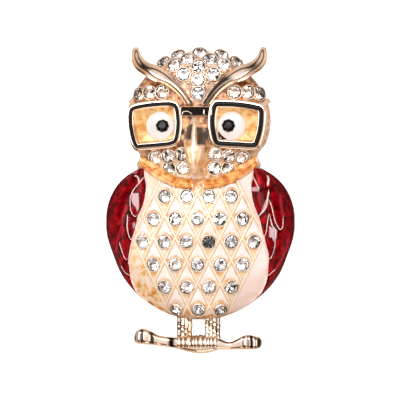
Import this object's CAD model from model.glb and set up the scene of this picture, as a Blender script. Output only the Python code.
"""Looks of an owl brooch with spectacles: gold-plated casting, enamel and cut stones.

Lengths are worked out in millimetres and written to the meshes in metres. The brooch lies on its
back: +X is to the viewer's right, +Y towards the head and +Z towards the viewer.
"""

import math

import bpy
import numpy as np
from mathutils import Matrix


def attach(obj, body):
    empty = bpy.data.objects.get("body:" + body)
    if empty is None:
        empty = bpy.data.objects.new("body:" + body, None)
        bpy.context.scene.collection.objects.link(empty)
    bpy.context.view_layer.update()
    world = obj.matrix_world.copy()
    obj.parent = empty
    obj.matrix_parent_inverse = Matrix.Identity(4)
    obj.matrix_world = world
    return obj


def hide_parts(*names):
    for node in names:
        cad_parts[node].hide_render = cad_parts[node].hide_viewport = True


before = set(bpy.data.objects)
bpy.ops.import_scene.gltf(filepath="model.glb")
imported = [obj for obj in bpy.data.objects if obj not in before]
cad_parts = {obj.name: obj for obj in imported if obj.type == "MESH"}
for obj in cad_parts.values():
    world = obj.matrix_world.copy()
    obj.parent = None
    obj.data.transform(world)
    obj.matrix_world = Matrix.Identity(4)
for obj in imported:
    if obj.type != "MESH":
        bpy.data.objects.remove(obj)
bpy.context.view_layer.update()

MM = 0.001
STONE_SEED = 8
rng = np.random.default_rng(STONE_SEED)

# The two sides of the brooch: the sign of x and the name
SIDES = {1: "right", -1: "left"}

# The camera: the photograph shows the brooch from above, a little from its right. Its distance
# is in millimetres and its lean in degrees.
PHOTO_PX = 400
PX_PER_MM = 6.0
SENSOR_MM = 36.0
camera_far = 600.0
camera_side = 3.5
aim = np.array([0.0, 0.0, 2.5])


def place_camera():
    """Camera on a line through the aim that leans to +X, with +Y upwards in the picture."""
    lean = math.radians(camera_side)
    data = bpy.data.cameras.new("camera")
    data.sensor_width = SENSOR_MM
    data.lens = SENSOR_MM * camera_far / (PHOTO_PX / PX_PER_MM)
    data.clip_start = 10 * MM
    camera = bpy.data.objects.new("camera", data)
    spot = aim + camera_far * np.array([math.sin(lean), 0, math.cos(lean)])
    camera.location = spot * MM
    camera.rotation_euler = (0, lean, 0)
    bpy.context.scene.collection.objects.link(camera)
    bpy.context.scene.camera = camera


place_camera()

# Driving sizes, as in the construction
wing_span = 31.5
belly_w = 23.1
body_h = 25.2
head_w = 24.0
head_h = 19.4
tuft_span = 22.4
tuft_rise = 0.9
leg_h = 3.0
leg_gap = 4.6
branch_h = 2.7
branch_w = 21.3
branch_x = 0.4
brow_up = 10.5
chest_d = 9.0
head_d = 7.2
beak_d = 3.4
beak_l = 9.7
beak_w = 3.4
edge_d = 1.8
wall = 1.3
collar_w = 20.2
collar_drop = 3.55
collar_d = 0.5
lens_w = 8.55
lens_up = 6.98
bridge_w = 5.2
bridge_h = 1.3
bridge_up = 9.35
band_w = 0.65
line_w = 0.27
frame_x = 0.2
eye_dia = 4.7
eye_gap = 12.0
eye_d = 0.55
pupil_dia = 2.1
pupil_in = 0.5
stone_dia = 2.06
pitch_x = 3.67
pitch_y = 3.74
row_drop = 4.75
cup_w = 0.22
enamel_t = 0.45
fit = 0.05
ROW_STONES = [4, 5, 6, 5, 4, 3]

total_h = branch_h + leg_h + body_h + head_h + tuft_rise
foot_y = -total_h / 2
feet_y = foot_y + branch_h
belly_y = feet_y + leg_h
neck_y = belly_y + body_h
tip_y = neck_y + head_h + tuft_rise
eye_floor = head_d
lens_x = (bridge_w + lens_w) / 2
lens_y = neck_y + lens_up
bridge_y = neck_y + bridge_up
beak_top = bridge_y - bridge_h / 2 - line_w - fit
stone_r = stone_dia / 2
cup_r = stone_r + fit + cup_w
chin_y = neck_y - 0.1 * head_h

# Body from the neck, 0, to the foot, 1: half the outline and half the belly as shares of half
# the span and half the belly's width, then the crest and the valley as shares of chest_d
OUTLINE, BELLY, CREST, VALLEY = range(1, 5)
body_rows = [
    [0.00, 0.650, 0.775, 0.70, 0.60], [0.05, 0.780, 0.770, 0.77, 0.64],
    [0.12, 0.890, 0.745, 0.86, 0.69], [0.22, 0.970, 0.775, 0.93, 0.73],
    [0.33, 1.000, 0.860, 0.98, 0.74], [0.45, 0.987, 0.930, 1.00, 0.73],
    [0.57, 0.925, 0.995, 0.99, 0.70], [0.69, 0.845, 0.985, 0.97, 0.66],
    [0.79, 0.730, 0.925, 0.93, 0.60], [0.88, 0.570, 0.800, 0.87, 0.54],
    [0.95, 0.385, 0.600, 0.78, 0.49], [1.00, 0.160, 0.300, 0.62, 0.44],
]
wing_min = 0.5
wing_swell = 0.75
wing_foot = 0.856
span_limit = 15.736

# Head from below the chin to the crown: half the outline and the height of its middle
HEAD_HALF, HEAD_TOP = 1, 2
head_rows = [
    [-0.10, 0.450, 0.84], [0.00, 0.840, 0.88], [0.11, 0.815, 0.94], [0.16, 0.865, 0.97],
    [0.22, 0.940, 1.00], [0.33, 0.988, 1.00], [0.42, 1.000, 1.00], [0.51, 0.985, 1.00],
    [0.60, 0.935, 0.99], [0.70, 0.850, 0.97], [0.79, 0.735, 0.94], [0.86, 0.610, 0.87],
    [0.92, 0.480, 0.75], [0.97, 0.320, 0.57], [1.00, 0.150, 0.40],
]

# Brow from its root to the tip of the tuft: outer x and y, inner x and y, height. Its first
# stations lie over the face and the others stand free.
OUTER_X, OUTER_Y, INNER_X, INNER_Y, BROW_TOP = range(1, 6)
brow_on_face = 7
brow_rise = tip_y - neck_y - brow_up
brow_rows = [
    [0.000, 0.205, 0.000, 0.070, 0.020, 1.24], [0.125, 0.325, 0.185, 0.175, 0.205, 1.25],
    [0.250, 0.500, 0.340, 0.290, 0.375, 1.23], [0.375, 0.660, 0.400, 0.435, 0.535, 1.16],
    [0.500, 0.800, 0.495, 0.595, 0.655, 1.05], [0.625, 0.930, 0.600, 0.755, 0.725, 0.90],
    [0.750, 1.000, 0.740, 0.850, 0.825, 0.78], [0.875, 1.005, 0.885, 0.890, 0.925, 0.68],
    [1.000, 0.985, 0.990, 0.905, 0.990, 0.58],
]
brow_depth = 2.8

# Beak from its root to its tip: half the width and the height of the ridge
BEAK_HALF, BEAK_TOP = 1, 2
beak_rows = [
    [0.00, 0.25, 0.40], [0.09, 0.45, 0.62], [0.18, 0.70, 0.74], [0.29, 0.92, 0.84],
    [0.43, 1.02, 0.93], [0.57, 0.96, 0.99], [0.73, 0.68, 1.00], [0.87, 0.41, 0.96],
    [0.96, 0.22, 0.86], [1.00, 0.08, 0.74],
]

# Collar from the middle to the side: the upper and the lower edge above the neck
COLLAR_UPPER, COLLAR_LOWER = 1, 2
collar_rows = [
    [0.09, -0.51, -1.00], [0.38, -0.35, -0.90], [0.61, 0.08, -0.63], [0.80, 0.36, -0.30],
    [0.96, 0.60, 0.08],
]

# Branch from left to right: the upper edge, the lower edge and the front
BRANCH_UPPER, BRANCH_LOWER, BRANCH_FRONT = 1, 2, 3
branch_rows = [
    [-1.00, 1.06, 0.80, 0.75], [-0.97, 1.36, 0.62, 1.05], [-0.91, 1.50, 0.57, 1.22],
    [-0.83, 1.51, 0.55, 1.30], [-0.72, 1.34, 0.52, 1.25], [-0.60, 1.10, 0.47, 1.15],
    [-0.34, 0.98, 0.30, 1.20], [-0.15, 0.98, 0.10, 1.30], [0.04, 0.98, 0.00, 1.32],
    [0.21, 0.98, 0.08, 1.30], [0.33, 0.92, 0.24, 1.22], [0.49, 0.70, 0.25, 1.10],
    [0.60, 0.86, 0.25, 1.15], [0.70, 1.08, 0.25, 1.22], [0.80, 1.16, 0.25, 1.25],
    [0.90, 1.08, 0.26, 1.20], [0.97, 0.98, 0.34, 1.02], [1.00, 0.82, 0.56, 0.75],
]
branch_back = 0.5

# Places of the stones on the head, as shares of half its width and of its height
crown_spots = [[0, 0.636], [0, 0.751], [0.207, 0.797], [0, 0.868], [0.337, 0.878],
               [0.154, 0.926], [0.497, 0.905], [0.297, 0.967], [0, 0.984]]
brow_spots = [[0.50, 0.645], [0.68, 0.645], [0.825, 0.635]]
cheek_spots = [[0.235, 0.115], [0.415, 0.098], [0.60, 0.088], [0.22, -0.005], [0.41, -0.008]]


# Curves and heights

def along(table, column, key):
    """Value of a column at a key: a cubic through the rows, whose slope at a row is that of the
    line between the rows on either side of it."""
    rows = np.asarray(table, float)
    x, y = rows[:, 0], rows[:, column]
    last = len(x) - 1
    before = np.maximum(np.arange(len(x)) - 1, 0)
    after = np.minimum(np.arange(len(x)) + 1, last)
    slope = (y[after] - y[before]) / (x[after] - x[before])
    key = np.clip(np.asarray(key, float), x[0], x[-1])
    i = np.clip(np.searchsorted(x, key, side="right") - 1, 0, last - 1)
    h = x[i + 1] - x[i]
    u = (key - x[i]) / h
    v = 1 - u
    return (v * v * (1 + 2 * u) * y[i] + u * u * (3 - 2 * u) * y[i + 1]
            + u * v * h * (v * slope[i] - u * slope[i + 1]))


def ease(u):
    """Smooth step from 0 to 1 while u goes from 0 to 1."""
    v = np.clip(u, 0, 1)
    return v * v * (3 - 2 * v)


def half_w(s):
    """Half the body's outline: the table's share of half the span, up to the limit."""
    return np.minimum(wing_span / 2 * along(body_rows, OUTLINE, s), span_limit)


def half_belly(s):
    """Half the belly: the table's share of half its width, clear of the outline."""
    return np.minimum(belly_w / 2 * along(body_rows, BELLY, s), half_w(s) - wing_min)


def body_y(s):
    """Place on Y of a share s of the way from the neck to the foot of the body."""
    return neck_y - s * body_h


def body_s(y):
    """Share of the way from the neck to the foot of the body: body_y the other way round."""
    return np.clip((neck_y - y) / body_h, 0, 1)


def belly_z(s, u):
    """Height of the belly at a share u of its half width: a parabola."""
    crest, valley = chest_d * along(body_rows, CREST, s), chest_d * along(body_rows, VALLEY, s)
    return valley + (crest - valley) * (1 - u * u)


def wing_z(s, t):
    """Height of the wing at a share t from the belly to the outline: it swells beside the
    belly and turns down steeply to the upright edge."""
    valley = chest_d * along(body_rows, VALLEY, s)
    turn = np.sqrt(np.clip(1 - np.clip(t, 0, 1) ** 2.5, 0, 1))
    return edge_d + (valley - edge_d) * turn + wing_swell * np.sin(np.pi * t) * (1 - t)


def wing_x(s, t):
    """Place on X in the wing: in a straight line from the belly, 0, to the outline, 1."""
    return half_belly(s) + t * (half_w(s) - half_belly(s))


def body_z(x, y):
    """Height of the body's front at a place: the belly inside its edge and the wing outside."""
    s = body_s(y)
    b = half_belly(s)
    t = (np.abs(x) - b) / (half_w(s) - b)
    return np.where(t <= 0, belly_z(s, np.clip(np.abs(x) / b, 0, 1)), wing_z(s, np.clip(t, 0, 1)))


def head_half(k):
    """Half the head's outline: the table's share of half its width."""
    return head_w / 2 * along(head_rows, HEAD_HALF, k)


def dome(u):
    """Round section: 1 less the cube of the share u, to the power 0.55."""
    return np.clip(1 - np.clip(np.abs(u), 0, 1) ** 3, 0, 1) ** 0.55


def head_z(x, y):
    """Height of the head: from the edge up to the table's height by the round section, so
    that it is flat in front and rounded at its sides."""
    k = np.clip((y - neck_y) / head_h, -0.1, 1)
    top = head_d * along(head_rows, HEAD_TOP, k)
    return edge_d + (top - edge_d) * dome(x / head_half(k))


def front_z(x, y):
    """Height of the head above the neck, and of the higher of the two at the chin."""
    chin = np.maximum(body_z(x, y), head_z(x, y))
    return np.where(y > neck_y, head_z(x, y), np.where(y < chin_y, body_z(x, y), chin))


def unit(v):
    """The same vectors with length 1."""
    return v / np.linalg.norm(v, axis=-1, keepdims=True)


def facing(height, x, y, d=0.05):
    """Unit vectors square to a height function, from its differences across a short step."""
    gx = (height(x + d, y) - height(x - d, y)) / (2 * d)
    gy = (height(x, y + d) - height(x, y - d)) / (2 * d)
    return unit(np.stack([-gx, -gy, np.ones_like(gx)], -1))


# Meshes: a part is points, a list of face arrays, and values at the points by name

def grid_faces(nu, nv, closed_u=False, closed_v=False):
    """Quads of a grid of nu by nv points, which may close on itself either way."""
    i = np.arange(nu if closed_u else nu - 1)[:, None]
    j = np.arange(nv if closed_v else nv - 1)[None, :]
    a, b = i * nv + j, ((i + 1) % nu) * nv + j
    c, d = ((i + 1) % nu) * nv + (j + 1) % nv, i * nv + (j + 1) % nv
    return np.stack([a, b, c, d], -1).reshape(-1, 4)


def circle(n):
    """n points on a circle of radius 1, at even angles."""
    a = np.linspace(0, 2 * np.pi, n, endpoint=False)
    return np.column_stack([np.cos(a), np.sin(a)])


def xyz(x, y, z):
    """Points from three arrays, each spread to the shape of all."""
    return np.stack(np.broadcast_arrays(x, y, z), -1)


def part(points, faces, **values):
    """Part from points, face arrays, and one value or a value for each point by name."""
    points = np.asarray(points, float).reshape(-1, 3)
    return {"points": points, "faces": [np.asarray(f, int) for f in faces],
            "values": {k: np.broadcast_to(v, points.shape[:1]).astype(float)
                       if np.size(v) == 1 else np.asarray(v, float).ravel()
                       for k, v in values.items()}}


def joined(parts):
    """Several parts as one: their points after each other, and their faces shifted."""
    names = sorted({name for p in parts for name in p["values"]})
    shift = np.cumsum([0] + [len(p["points"]) for p in parts[:-1]])
    return {"points": np.concatenate([p["points"] for p in parts]),
            "faces": [f + k for p, k in zip(parts, shift) for f in p["faces"]],
            "values": {name: np.concatenate([p["values"].get(name, np.zeros(len(p["points"])))
                                             for p in parts]) for name in names}}


def mirrored(p):
    """The part's mirror image in the plane between left and right, faces still outwards."""
    return {"points": p["points"] * [-1, 1, 1], "faces": [f[:, ::-1] for f in p["faces"]],
            "values": dict(p["values"])}


def sheet_part(upper, lower, **values):
    """Closed layer between two grids of points: rows run down and columns to the right."""
    nu, nv = upper.shape[:2]
    n = nu * nv
    top = grid_faces(nu, nv)
    border = np.concatenate([np.arange(nv - 1), np.arange(nu - 1) * nv + nv - 1,
                             (nu - 1) * nv + np.arange(nv - 1, 0, -1),
                             np.arange(nu - 1, 0, -1) * nv])
    after = np.roll(border, -1)
    rim = np.stack([border, after, after + n, border + n], -1)
    both = {k: np.concatenate([v.ravel(), v.ravel()]) for k, v in values.items()}
    return part(np.concatenate([upper.reshape(-1, 3), lower.reshape(-1, 3)]),
                [top, top[:, ::-1] + n, rim], **both)


def fan(ring, centre, flip=False):
    """Triangles from a ring of point numbers to a centre point."""
    after = np.roll(ring, -1)
    tri = np.stack([ring, after, np.full(len(ring), centre)], -1)
    return tri[:, ::-1] if flip else tri


def tube_part(rings, closed=False, **values):
    """Skin through rings of points, closed on itself or by a fan at each end."""
    n, m = rings.shape[:2]
    faces = [grid_faces(n, m, closed_u=closed, closed_v=True)]
    points = rings.reshape(-1, 3)
    if not closed:
        ends = np.stack([rings[0].mean(0), rings[-1].mean(0)])
        points = np.concatenate([points, ends])
        faces += [fan(np.arange(m), n * m, flip=True),
                  fan(np.arange(m) + (n - 1) * m, n * m + 1)]
        values = {k: np.concatenate([v.ravel(), v[0].mean()[None] if v.ndim > 1 else v[:1],
                                     v[-1].mean()[None] if v.ndim > 1 else v[-1:]])
                  for k, v in values.items()}
    return part(points, faces, **values)


def swept(path, up, profile, scale=None, **values):
    """Profile of (across, above) points carried along a path: across is square to both the
    path and its up vectors, and above is along the up vectors. Values go with the profile."""
    up = np.broadcast_to(up, path.shape)
    side = unit(np.cross(unit(np.gradient(path, axis=0)), up))
    scale = np.ones(len(path)) if scale is None else scale
    profile = scale[:, None, None] * np.asarray(profile, float)
    across = profile[..., :1] * side[:, None]
    above = profile[..., 1:] * up[:, None]
    spread = {k: np.tile(np.asarray(v, float), (len(path), 1)) for k, v in values.items()}
    return tube_part(path[:, None] + across + above, **spread)


def round_profile(width, height, low, n=7):
    """Half an ellipse above the path with a straight foot below it, as a closed outline."""
    a = np.linspace(0, np.pi, n)
    arch = np.stack([width / 2 * np.cos(a), height * np.sin(a)], -1)
    return np.concatenate([[[width / 2, low]], arch, [[-width / 2, low]]])


def curve_through(points, n):
    """n points on a smooth curve through a few: each column is a cubic over the chord length."""
    points = np.asarray(points, float)
    run = np.concatenate([[0], np.cumsum(np.linalg.norm(np.diff(points, axis=0), axis=1))])
    key = np.linspace(0, run[-1], n)
    table = np.column_stack([run, points])
    return np.stack([along(table, c + 1, key) for c in range(points.shape[1])], -1)


def lathe(profile, n=24, **values):
    """Profile of (radius, height) points turned round Z, closed where the radius is zero:
    each ring has n points at equal angles."""
    radius, height = np.asarray(profile, float).T[..., None]
    c, q = circle(n).T
    return part(xyz(radius * c, radius * q, height),
                [grid_faces(len(radius), n, closed_v=True)], **values)


def spot_on(height, x, y):
    """Point on a height function at a place."""
    return np.array([x, y, float(height(x, y))])


def seat_normal(height, x, y):
    """Axis of a stone: square to the surface on the chest, and leaning to +Z on the head."""
    n = facing(height, np.float64(x), np.float64(y))
    return n if height is body_z else n + [0, 0, 0.9]


def seated(p, spot, normal, turn=0.0, lift=0.0):
    """The part with its Z turned to a normal, spun by an angle, and moved to a spot."""
    z = unit(normal)
    x = unit(np.cross([0, 1, 0], z))
    y = np.cross(z, x)
    c, s = math.cos(turn), math.sin(turn)
    spun = p["points"] @ np.array([[c, s, 0], [-s, c, 0], [0, 0, 1]])
    points = spun @ np.stack([x, y, z]) + spot + lift * z
    return {"points": points, "faces": p["faces"], "values": dict(p["values"])}


def piece(name, p, material, replaces=(), sharp=None):
    """Object from a part, in metres, that rides on the brooch and stands for its nodes. Edges
    sharper than the angle stay sharp, and at the angle 0 every face is flat."""
    mesh = bpy.data.meshes.new(name)
    corners = np.concatenate([f.ravel() for f in p["faces"]])
    sizes = np.concatenate([np.full(len(f), f.shape[1]) for f in p["faces"]])
    mesh.vertices.add(len(p["points"]))
    mesh.vertices.foreach_set("co", (p["points"] * MM).ravel())
    mesh.loops.add(len(corners))
    mesh.loops.foreach_set("vertex_index", corners.astype(np.int32))
    mesh.polygons.add(len(sizes))
    mesh.polygons.foreach_set("loop_start", (np.cumsum(sizes) - sizes).astype(np.int32))
    mesh.update(calc_edges=True)
    mesh.validate()
    for key, value in p["values"].items():
        layer = mesh.attributes.new(key, "FLOAT", "POINT")
        layer.data.foreach_set("value", value.astype(np.float32))
    mesh.polygons.foreach_set("use_smooth", np.full(len(mesh.polygons), sharp != 0))
    if sharp:
        mesh.set_sharp_from_angle(angle=math.radians(sharp))
    obj = bpy.data.objects.new(name, mesh)
    bpy.context.scene.collection.objects.link(obj)
    mesh.materials.append(material)
    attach(obj, "root")
    if replaces:
        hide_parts(*replaces)
    return obj


def cast_piece(name, p, material, sharp=60):
    """Piece of the gold-plated casting."""
    return piece(name, p, material, ["casting"], sharp)


# Materials: shared effects are node groups, and each finish has its own function

def add(tree, kind, inputs=None, **settings):
    """Node of a kind, with its settings and with its inputs as values or links."""
    node = tree.nodes.new(kind)
    for key, value in settings.items():
        setattr(node, key, value)
    for key, value in (inputs or {}).items():
        if isinstance(value, bpy.types.NodeSocket):
            tree.links.new(value, node.inputs[key])
        else:
            node.inputs[key].default_value = value
    return node


def ramp(tree, factor, stops, interpolation="EASE"):
    """Colour ramp with (place, colour) stops."""
    node = add(tree, "ShaderNodeValToRGB", {"Fac": factor})
    band = node.color_ramp
    band.interpolation = interpolation
    while len(band.elements) > 1:
        band.elements.remove(band.elements[-1])
    band.elements[0].position = stops[0][0]
    band.elements[0].color = (*stops[0][1], 1)
    for place, colour in stops[1:]:
        band.elements.new(place).color = (*colour, 1)
    return node.outputs["Color"]


def blend_colour(tree, factor, a, b):
    """Mix of two colours by a factor."""
    node = add(tree, "ShaderNodeMix", data_type="RGBA")
    for socket, value in ((0, factor), (6, a), (7, b)):
        if isinstance(value, bpy.types.NodeSocket):
            tree.links.new(value, node.inputs[socket])
        elif socket == 0:
            node.inputs[0].default_value = value
        else:
            node.inputs[socket].default_value = (*value, 1)
    return node.outputs[2]


def calc(tree, operation, a, b=0.0, c=0.0, clamp=False):
    """Result of an operation on up to three values or links."""
    node = add(tree, "ShaderNodeMath", operation=operation, use_clamp=clamp)
    for socket, value in enumerate((a, b, c)):
        if isinstance(value, bpy.types.NodeSocket):
            tree.links.new(value, node.inputs[socket])
        else:
            node.inputs[socket].default_value = value
    return node.outputs[0]


def value_of(tree, name):
    """Values that a piece carries at its points."""
    return add(tree, "ShaderNodeAttribute", attribute_name=name).outputs["Fac"]


def new_group(name, inputs, outputs):
    """Empty node group with float inputs and named outputs."""
    tree = bpy.data.node_groups.new(name, "ShaderNodeTree")
    tree.interface.new_socket("Vector", in_out="INPUT", socket_type="NodeSocketVector")
    for key, value in inputs.items():
        socket = tree.interface.new_socket(key, in_out="INPUT", socket_type="NodeSocketFloat")
        socket.default_value = value
    for key in outputs:
        tree.interface.new_socket(key, in_out="OUTPUT", socket_type="NodeSocketFloat")
    return tree, add(tree, "NodeGroupInput").outputs, add(tree, "NodeGroupOutput").inputs


def unevenness_group():
    """Two scales of noise as a height and a patchy mask: Size is the coarse scale per metre."""
    tree, given, out = new_group("unevenness", {"Size": 400.0, "Fine": 6.0}, ["Height", "Mask"])
    coarse = add(tree, "ShaderNodeTexNoise", {"Vector": given["Vector"], "Scale": given["Size"],
                                              "Detail": 3.0, "Roughness": 0.6})
    fine_size = calc(tree, "MULTIPLY", given["Size"], given["Fine"])
    fine = add(tree, "ShaderNodeTexNoise", {"Vector": given["Vector"], "Scale": fine_size,
                                            "Detail": 2.0})
    share = calc(tree, "MULTIPLY", fine.outputs["Fac"], 0.35)
    tree.links.new(calc(tree, "ADD", coarse.outputs["Fac"], share), out["Height"])
    spread = calc(tree, "SUBTRACT", coarse.outputs["Fac"], 0.5)
    tree.links.new(calc(tree, "MULTIPLY_ADD", spread, 2.6, 0.5, clamp=True), out["Mask"])
    return tree


def streaks_group():
    """Noise drawn out along one axis of the given vector: Long is how far it is drawn out."""
    tree, given, out = new_group("streaks", {"Size": 40.0, "Long": 0.15}, ["Height"])
    parts = add(tree, "ShaderNodeSeparateXYZ", {"Vector": given["Vector"]}).outputs
    drawn = add(tree, "ShaderNodeCombineXYZ",
                {"X": calc(tree, "MULTIPLY", parts["X"], given["Long"]), "Y": parts["Y"],
                 "Z": parts["Z"]})
    noise = add(tree, "ShaderNodeTexNoise", {"Vector": drawn.outputs[0], "Scale": given["Size"],
                                             "Detail": 4.0, "Roughness": 0.65,
                                             "Distortion": 0.6})
    tree.links.new(noise.outputs["Fac"], out["Height"])
    return tree


UNEVEN = unevenness_group()
STREAKS = streaks_group()


def finish_of(name):
    """Empty material: its node tree, its shader and the object coordinates."""
    material = bpy.data.materials.new(name)
    material.use_nodes = True
    tree = material.node_tree
    shader = tree.nodes["Principled BSDF"]
    place = add(tree, "ShaderNodeTexCoord").outputs["Object"]
    return material, tree, shader, place


def uneven(tree, vector, size, fine=6.0):
    """Height and mask of the shared unevenness at a size."""
    return add(tree, "ShaderNodeGroup", {"Vector": vector, "Size": size, "Fine": fine},
               node_tree=UNEVEN).outputs


def bumped(tree, shader, height, strength, distance):
    """Bump from a height on the shader, with its distance in millimetres."""
    node = add(tree, "ShaderNodeBump", {"Height": height, "Strength": strength,
                                        "Distance": distance * MM})
    tree.links.new(node.outputs["Normal"], shader.inputs["Normal"])


def constants(shader, **values):
    """Values that are the same all over the surface, on the shader's own sockets."""
    for key, value in values.items():
        shader.inputs[key.replace("_", " ")].default_value = value


def link(tree, shader, **sockets):
    """Links to the shader's sockets by name."""
    for key, value in sockets.items():
        tree.links.new(value, shader.inputs[key.replace("_", " ")])


# Colours of the plating, and of the tarnish in its folds
GOLD = (0.97, 0.67, 0.44)
GOLD_PALE = (1.0, 0.85, 0.73)
GOLD_DEEP = (0.68, 0.38, 0.18)
TARNISH = (0.010, 0.004, 0.002)


def gold_finish(name, rough=0.10, wave=0.25):
    """Polished plating: soft patches of paler and deeper gold, a slightly uneven face, and
    dark tarnish where the mesh says so."""
    material, tree, shader, place = finish_of(name)
    patches = uneven(tree, place, 260.0)
    colour = ramp(tree, patches["Mask"], [(0.0, GOLD), (0.55, GOLD_PALE), (1.0, GOLD_PALE)])
    colour = blend_colour(tree, value_of(tree, "dark"), colour, TARNISH)
    grain = uneven(tree, place, 900.0, 5.0)
    shine = calc(tree, "MULTIPLY_ADD", grain["Mask"], 0.08, rough)
    link(tree, shader, Base_Color=colour, Roughness=shine)
    constants(shader, Metallic=1.0)
    bumped(tree, shader, grain["Height"], wave, 0.05)
    return material


def beak_finish():
    """Satin peach over metal, with a cream crest and dark flanks where the mesh says so."""
    material, tree, shader, place = finish_of("beak_gold")
    patches = uneven(tree, place, 700.0)
    colour = ramp(tree, patches["Mask"], [(0.1, (0.72, 0.36, 0.15)), (0.5, (0.90, 0.60, 0.36)),
                                          (0.9, (0.96, 0.74, 0.56))])
    colour = blend_colour(tree, value_of(tree, "crest"), colour, (0.98, 0.86, 0.78))
    colour = blend_colour(tree, value_of(tree, "dark"), colour, TARNISH)
    link(tree, shader, Base_Color=colour)
    constants(shader, Metallic=0.35, Roughness=0.32, Coat_Weight=0.5, Coat_Roughness=0.1)
    bumped(tree, shader, patches["Height"], 0.3, 0.06)
    return material


def chest_finish():
    """Chest: gold under a pearly wash that varies by the values that the mesh carries: wash
    from none to full, and warm from pink-white through cream to orange."""
    material, tree, shader, place = finish_of("chest_gold")
    patches = uneven(tree, place, 560.0)
    grain = uneven(tree, place, 1100.0, 4.0)
    metal = ramp(tree, patches["Mask"], [(0.0, GOLD), (0.5, GOLD_PALE), (1.0, GOLD_PALE)])
    spots = calc(tree, "SUBTRACT", calc(tree, "ADD", grain["Mask"], patches["Mask"]), 1.0)
    base = value_of(tree, "warm")
    drift = calc(tree, "MULTIPLY", spots, calc(tree, "MULTIPLY_ADD", base, 1.3, 0.14))
    warm = calc(tree, "ADD", base, drift, clamp=True)
    tint = ramp(tree, warm, [(0.0, (0.90, 0.77, 0.74)), (0.20, (0.88, 0.70, 0.57)),
                             (0.42, (0.87, 0.66, 0.41)), (0.68, (0.78, 0.42, 0.14)),
                             (1.0, (0.60, 0.21, 0.04))])
    wash = value_of(tree, "wash")
    bare = calc(tree, "MULTIPLY_ADD", wash, -0.94, 1.0)
    colour = blend_colour(tree, wash, metal, tint)
    colour = blend_colour(tree, value_of(tree, "stain"), colour, (0.10, 0.008, 0.016))
    link(tree, shader, Base_Color=colour, Metallic=bare)
    constants(shader, Roughness=0.34, Coat_Weight=0.35, Coat_Roughness=0.12)
    bumped(tree, shader, grain["Height"], 0.4, 0.06)
    return material


def lattice_finish():
    """Ridges of the chest: peach cream on top and brown where the wash gathers at the feet."""
    material, tree, shader, place = finish_of("lattice_gold")
    grain = uneven(tree, place, 1300.0, 4.0)
    top = ramp(tree, grain["Mask"], [(0.1, (0.88, 0.71, 0.50)), (0.8, (0.94, 0.84, 0.68))])
    foot = value_of(tree, "wall")
    link(tree, shader, Base_Color=blend_colour(tree, foot, top, (0.70, 0.44, 0.29)))
    constants(shader, Metallic=0.15, Roughness=0.3, Coat_Weight=0.6, Coat_Roughness=0.1)
    bumped(tree, shader, grain["Height"], 0.3, 0.04)
    return material


def head_finish():
    """Head: plain gold, mottled amber over rough metal where the mesh says so, and there
    orange, brown or black by the mesh's other values."""
    material, tree, shader, place = finish_of("head_gold")
    patches = uneven(tree, place, 950.0, 3.0)
    grain = uneven(tree, place, 1300.0, 4.0)
    metal = ramp(tree, patches["Mask"], [(0.0, GOLD_DEEP), (0.35, GOLD), (0.8, GOLD_PALE)])
    mottle = ramp(tree, patches["Mask"], [(0.36, (0.09, 0.014, 0.004)),
                                          (0.50, (0.42, 0.12, 0.02)),
                                          (0.65, (0.78, 0.37, 0.12)),
                                          (0.90, (0.96, 0.70, 0.43))])
    orange = ramp(tree, patches["Mask"], [(0.1, (0.78, 0.34, 0.10)), (0.5, (0.94, 0.58, 0.26)),
                                          (0.9, (0.98, 0.74, 0.46))])
    mottle = blend_colour(tree, value_of(tree, "orange"), mottle, orange)
    colour = blend_colour(tree, value_of(tree, "amber"), metal, mottle)
    colour = blend_colour(tree, value_of(tree, "brown"), colour, (0.22, 0.05, 0.010))
    colour = blend_colour(tree, value_of(tree, "dark"), colour, (0.012, 0.008, 0.007))
    link(tree, shader, Base_Color=colour)
    constants(shader, Metallic=0.3, Roughness=0.26, Coat_Weight=0.55, Coat_Roughness=0.06)
    bumped(tree, shader, grain["Height"], 0.7, 0.12)
    return material


def red_finish():
    """Translucent red enamel over feathers that were cut with fine streaks: the streaks tilt
    the metal below and the smooth coat keeps its own gloss. It is darker where it pools,
    purplish near the outline, brighter along the ribs and pale on the ends of feathers."""
    material, tree, shader, place = finish_of("red_enamel")
    drawn = add(tree, "ShaderNodeCombineXYZ",
                {"X": value_of(tree, "far"), "Y": value_of(tree, "across"), "Z": 0.0})
    streak = add(tree, "ShaderNodeGroup", {"Vector": drawn.outputs[0], "Size": 11.0, "Long": 0.6},
                 node_tree=STREAKS).outputs["Height"]
    patches = uneven(tree, place, 900.0, 3.0)
    depth = calc(tree, "ADD", calc(tree, "MULTIPLY", streak, 0.6),
                 calc(tree, "MULTIPLY", patches["Mask"], 0.4))
    depth = calc(tree, "SUBTRACT", depth, calc(tree, "MULTIPLY", value_of(tree, "pool"), 0.17))
    colour = ramp(tree, depth, [(0.32, (0.045, 0.0, 0.001)), (0.46, (0.15, 0.0, 0.003)),
                                (0.60, (0.29, 0.0, 0.005)), (0.76, (0.62, 0.008, 0.018))])
    colour = blend_colour(tree, calc(tree, "MULTIPLY", value_of(tree, "edge"), 0.7), colour,
                          (0.085, 0.0, 0.008))
    colour = blend_colour(tree, value_of(tree, "glow"), colour, (0.60, 0.025, 0.05))
    colour = blend_colour(tree, value_of(tree, "blush"), colour, (0.70, 0.50, 0.56))
    film = calc(tree, "MULTIPLY_ADD", value_of(tree, "edge"), -0.17, 0.2)
    link(tree, shader, Base_Color=colour, Coat_Weight=film)
    constants(shader, Roughness=0.5, Specular_IOR_Level=0.0, Coat_Roughness=0.03, Coat_IOR=1.45)
    bumped(tree, shader, streak, 0.5, 0.12)
    return material


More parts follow.
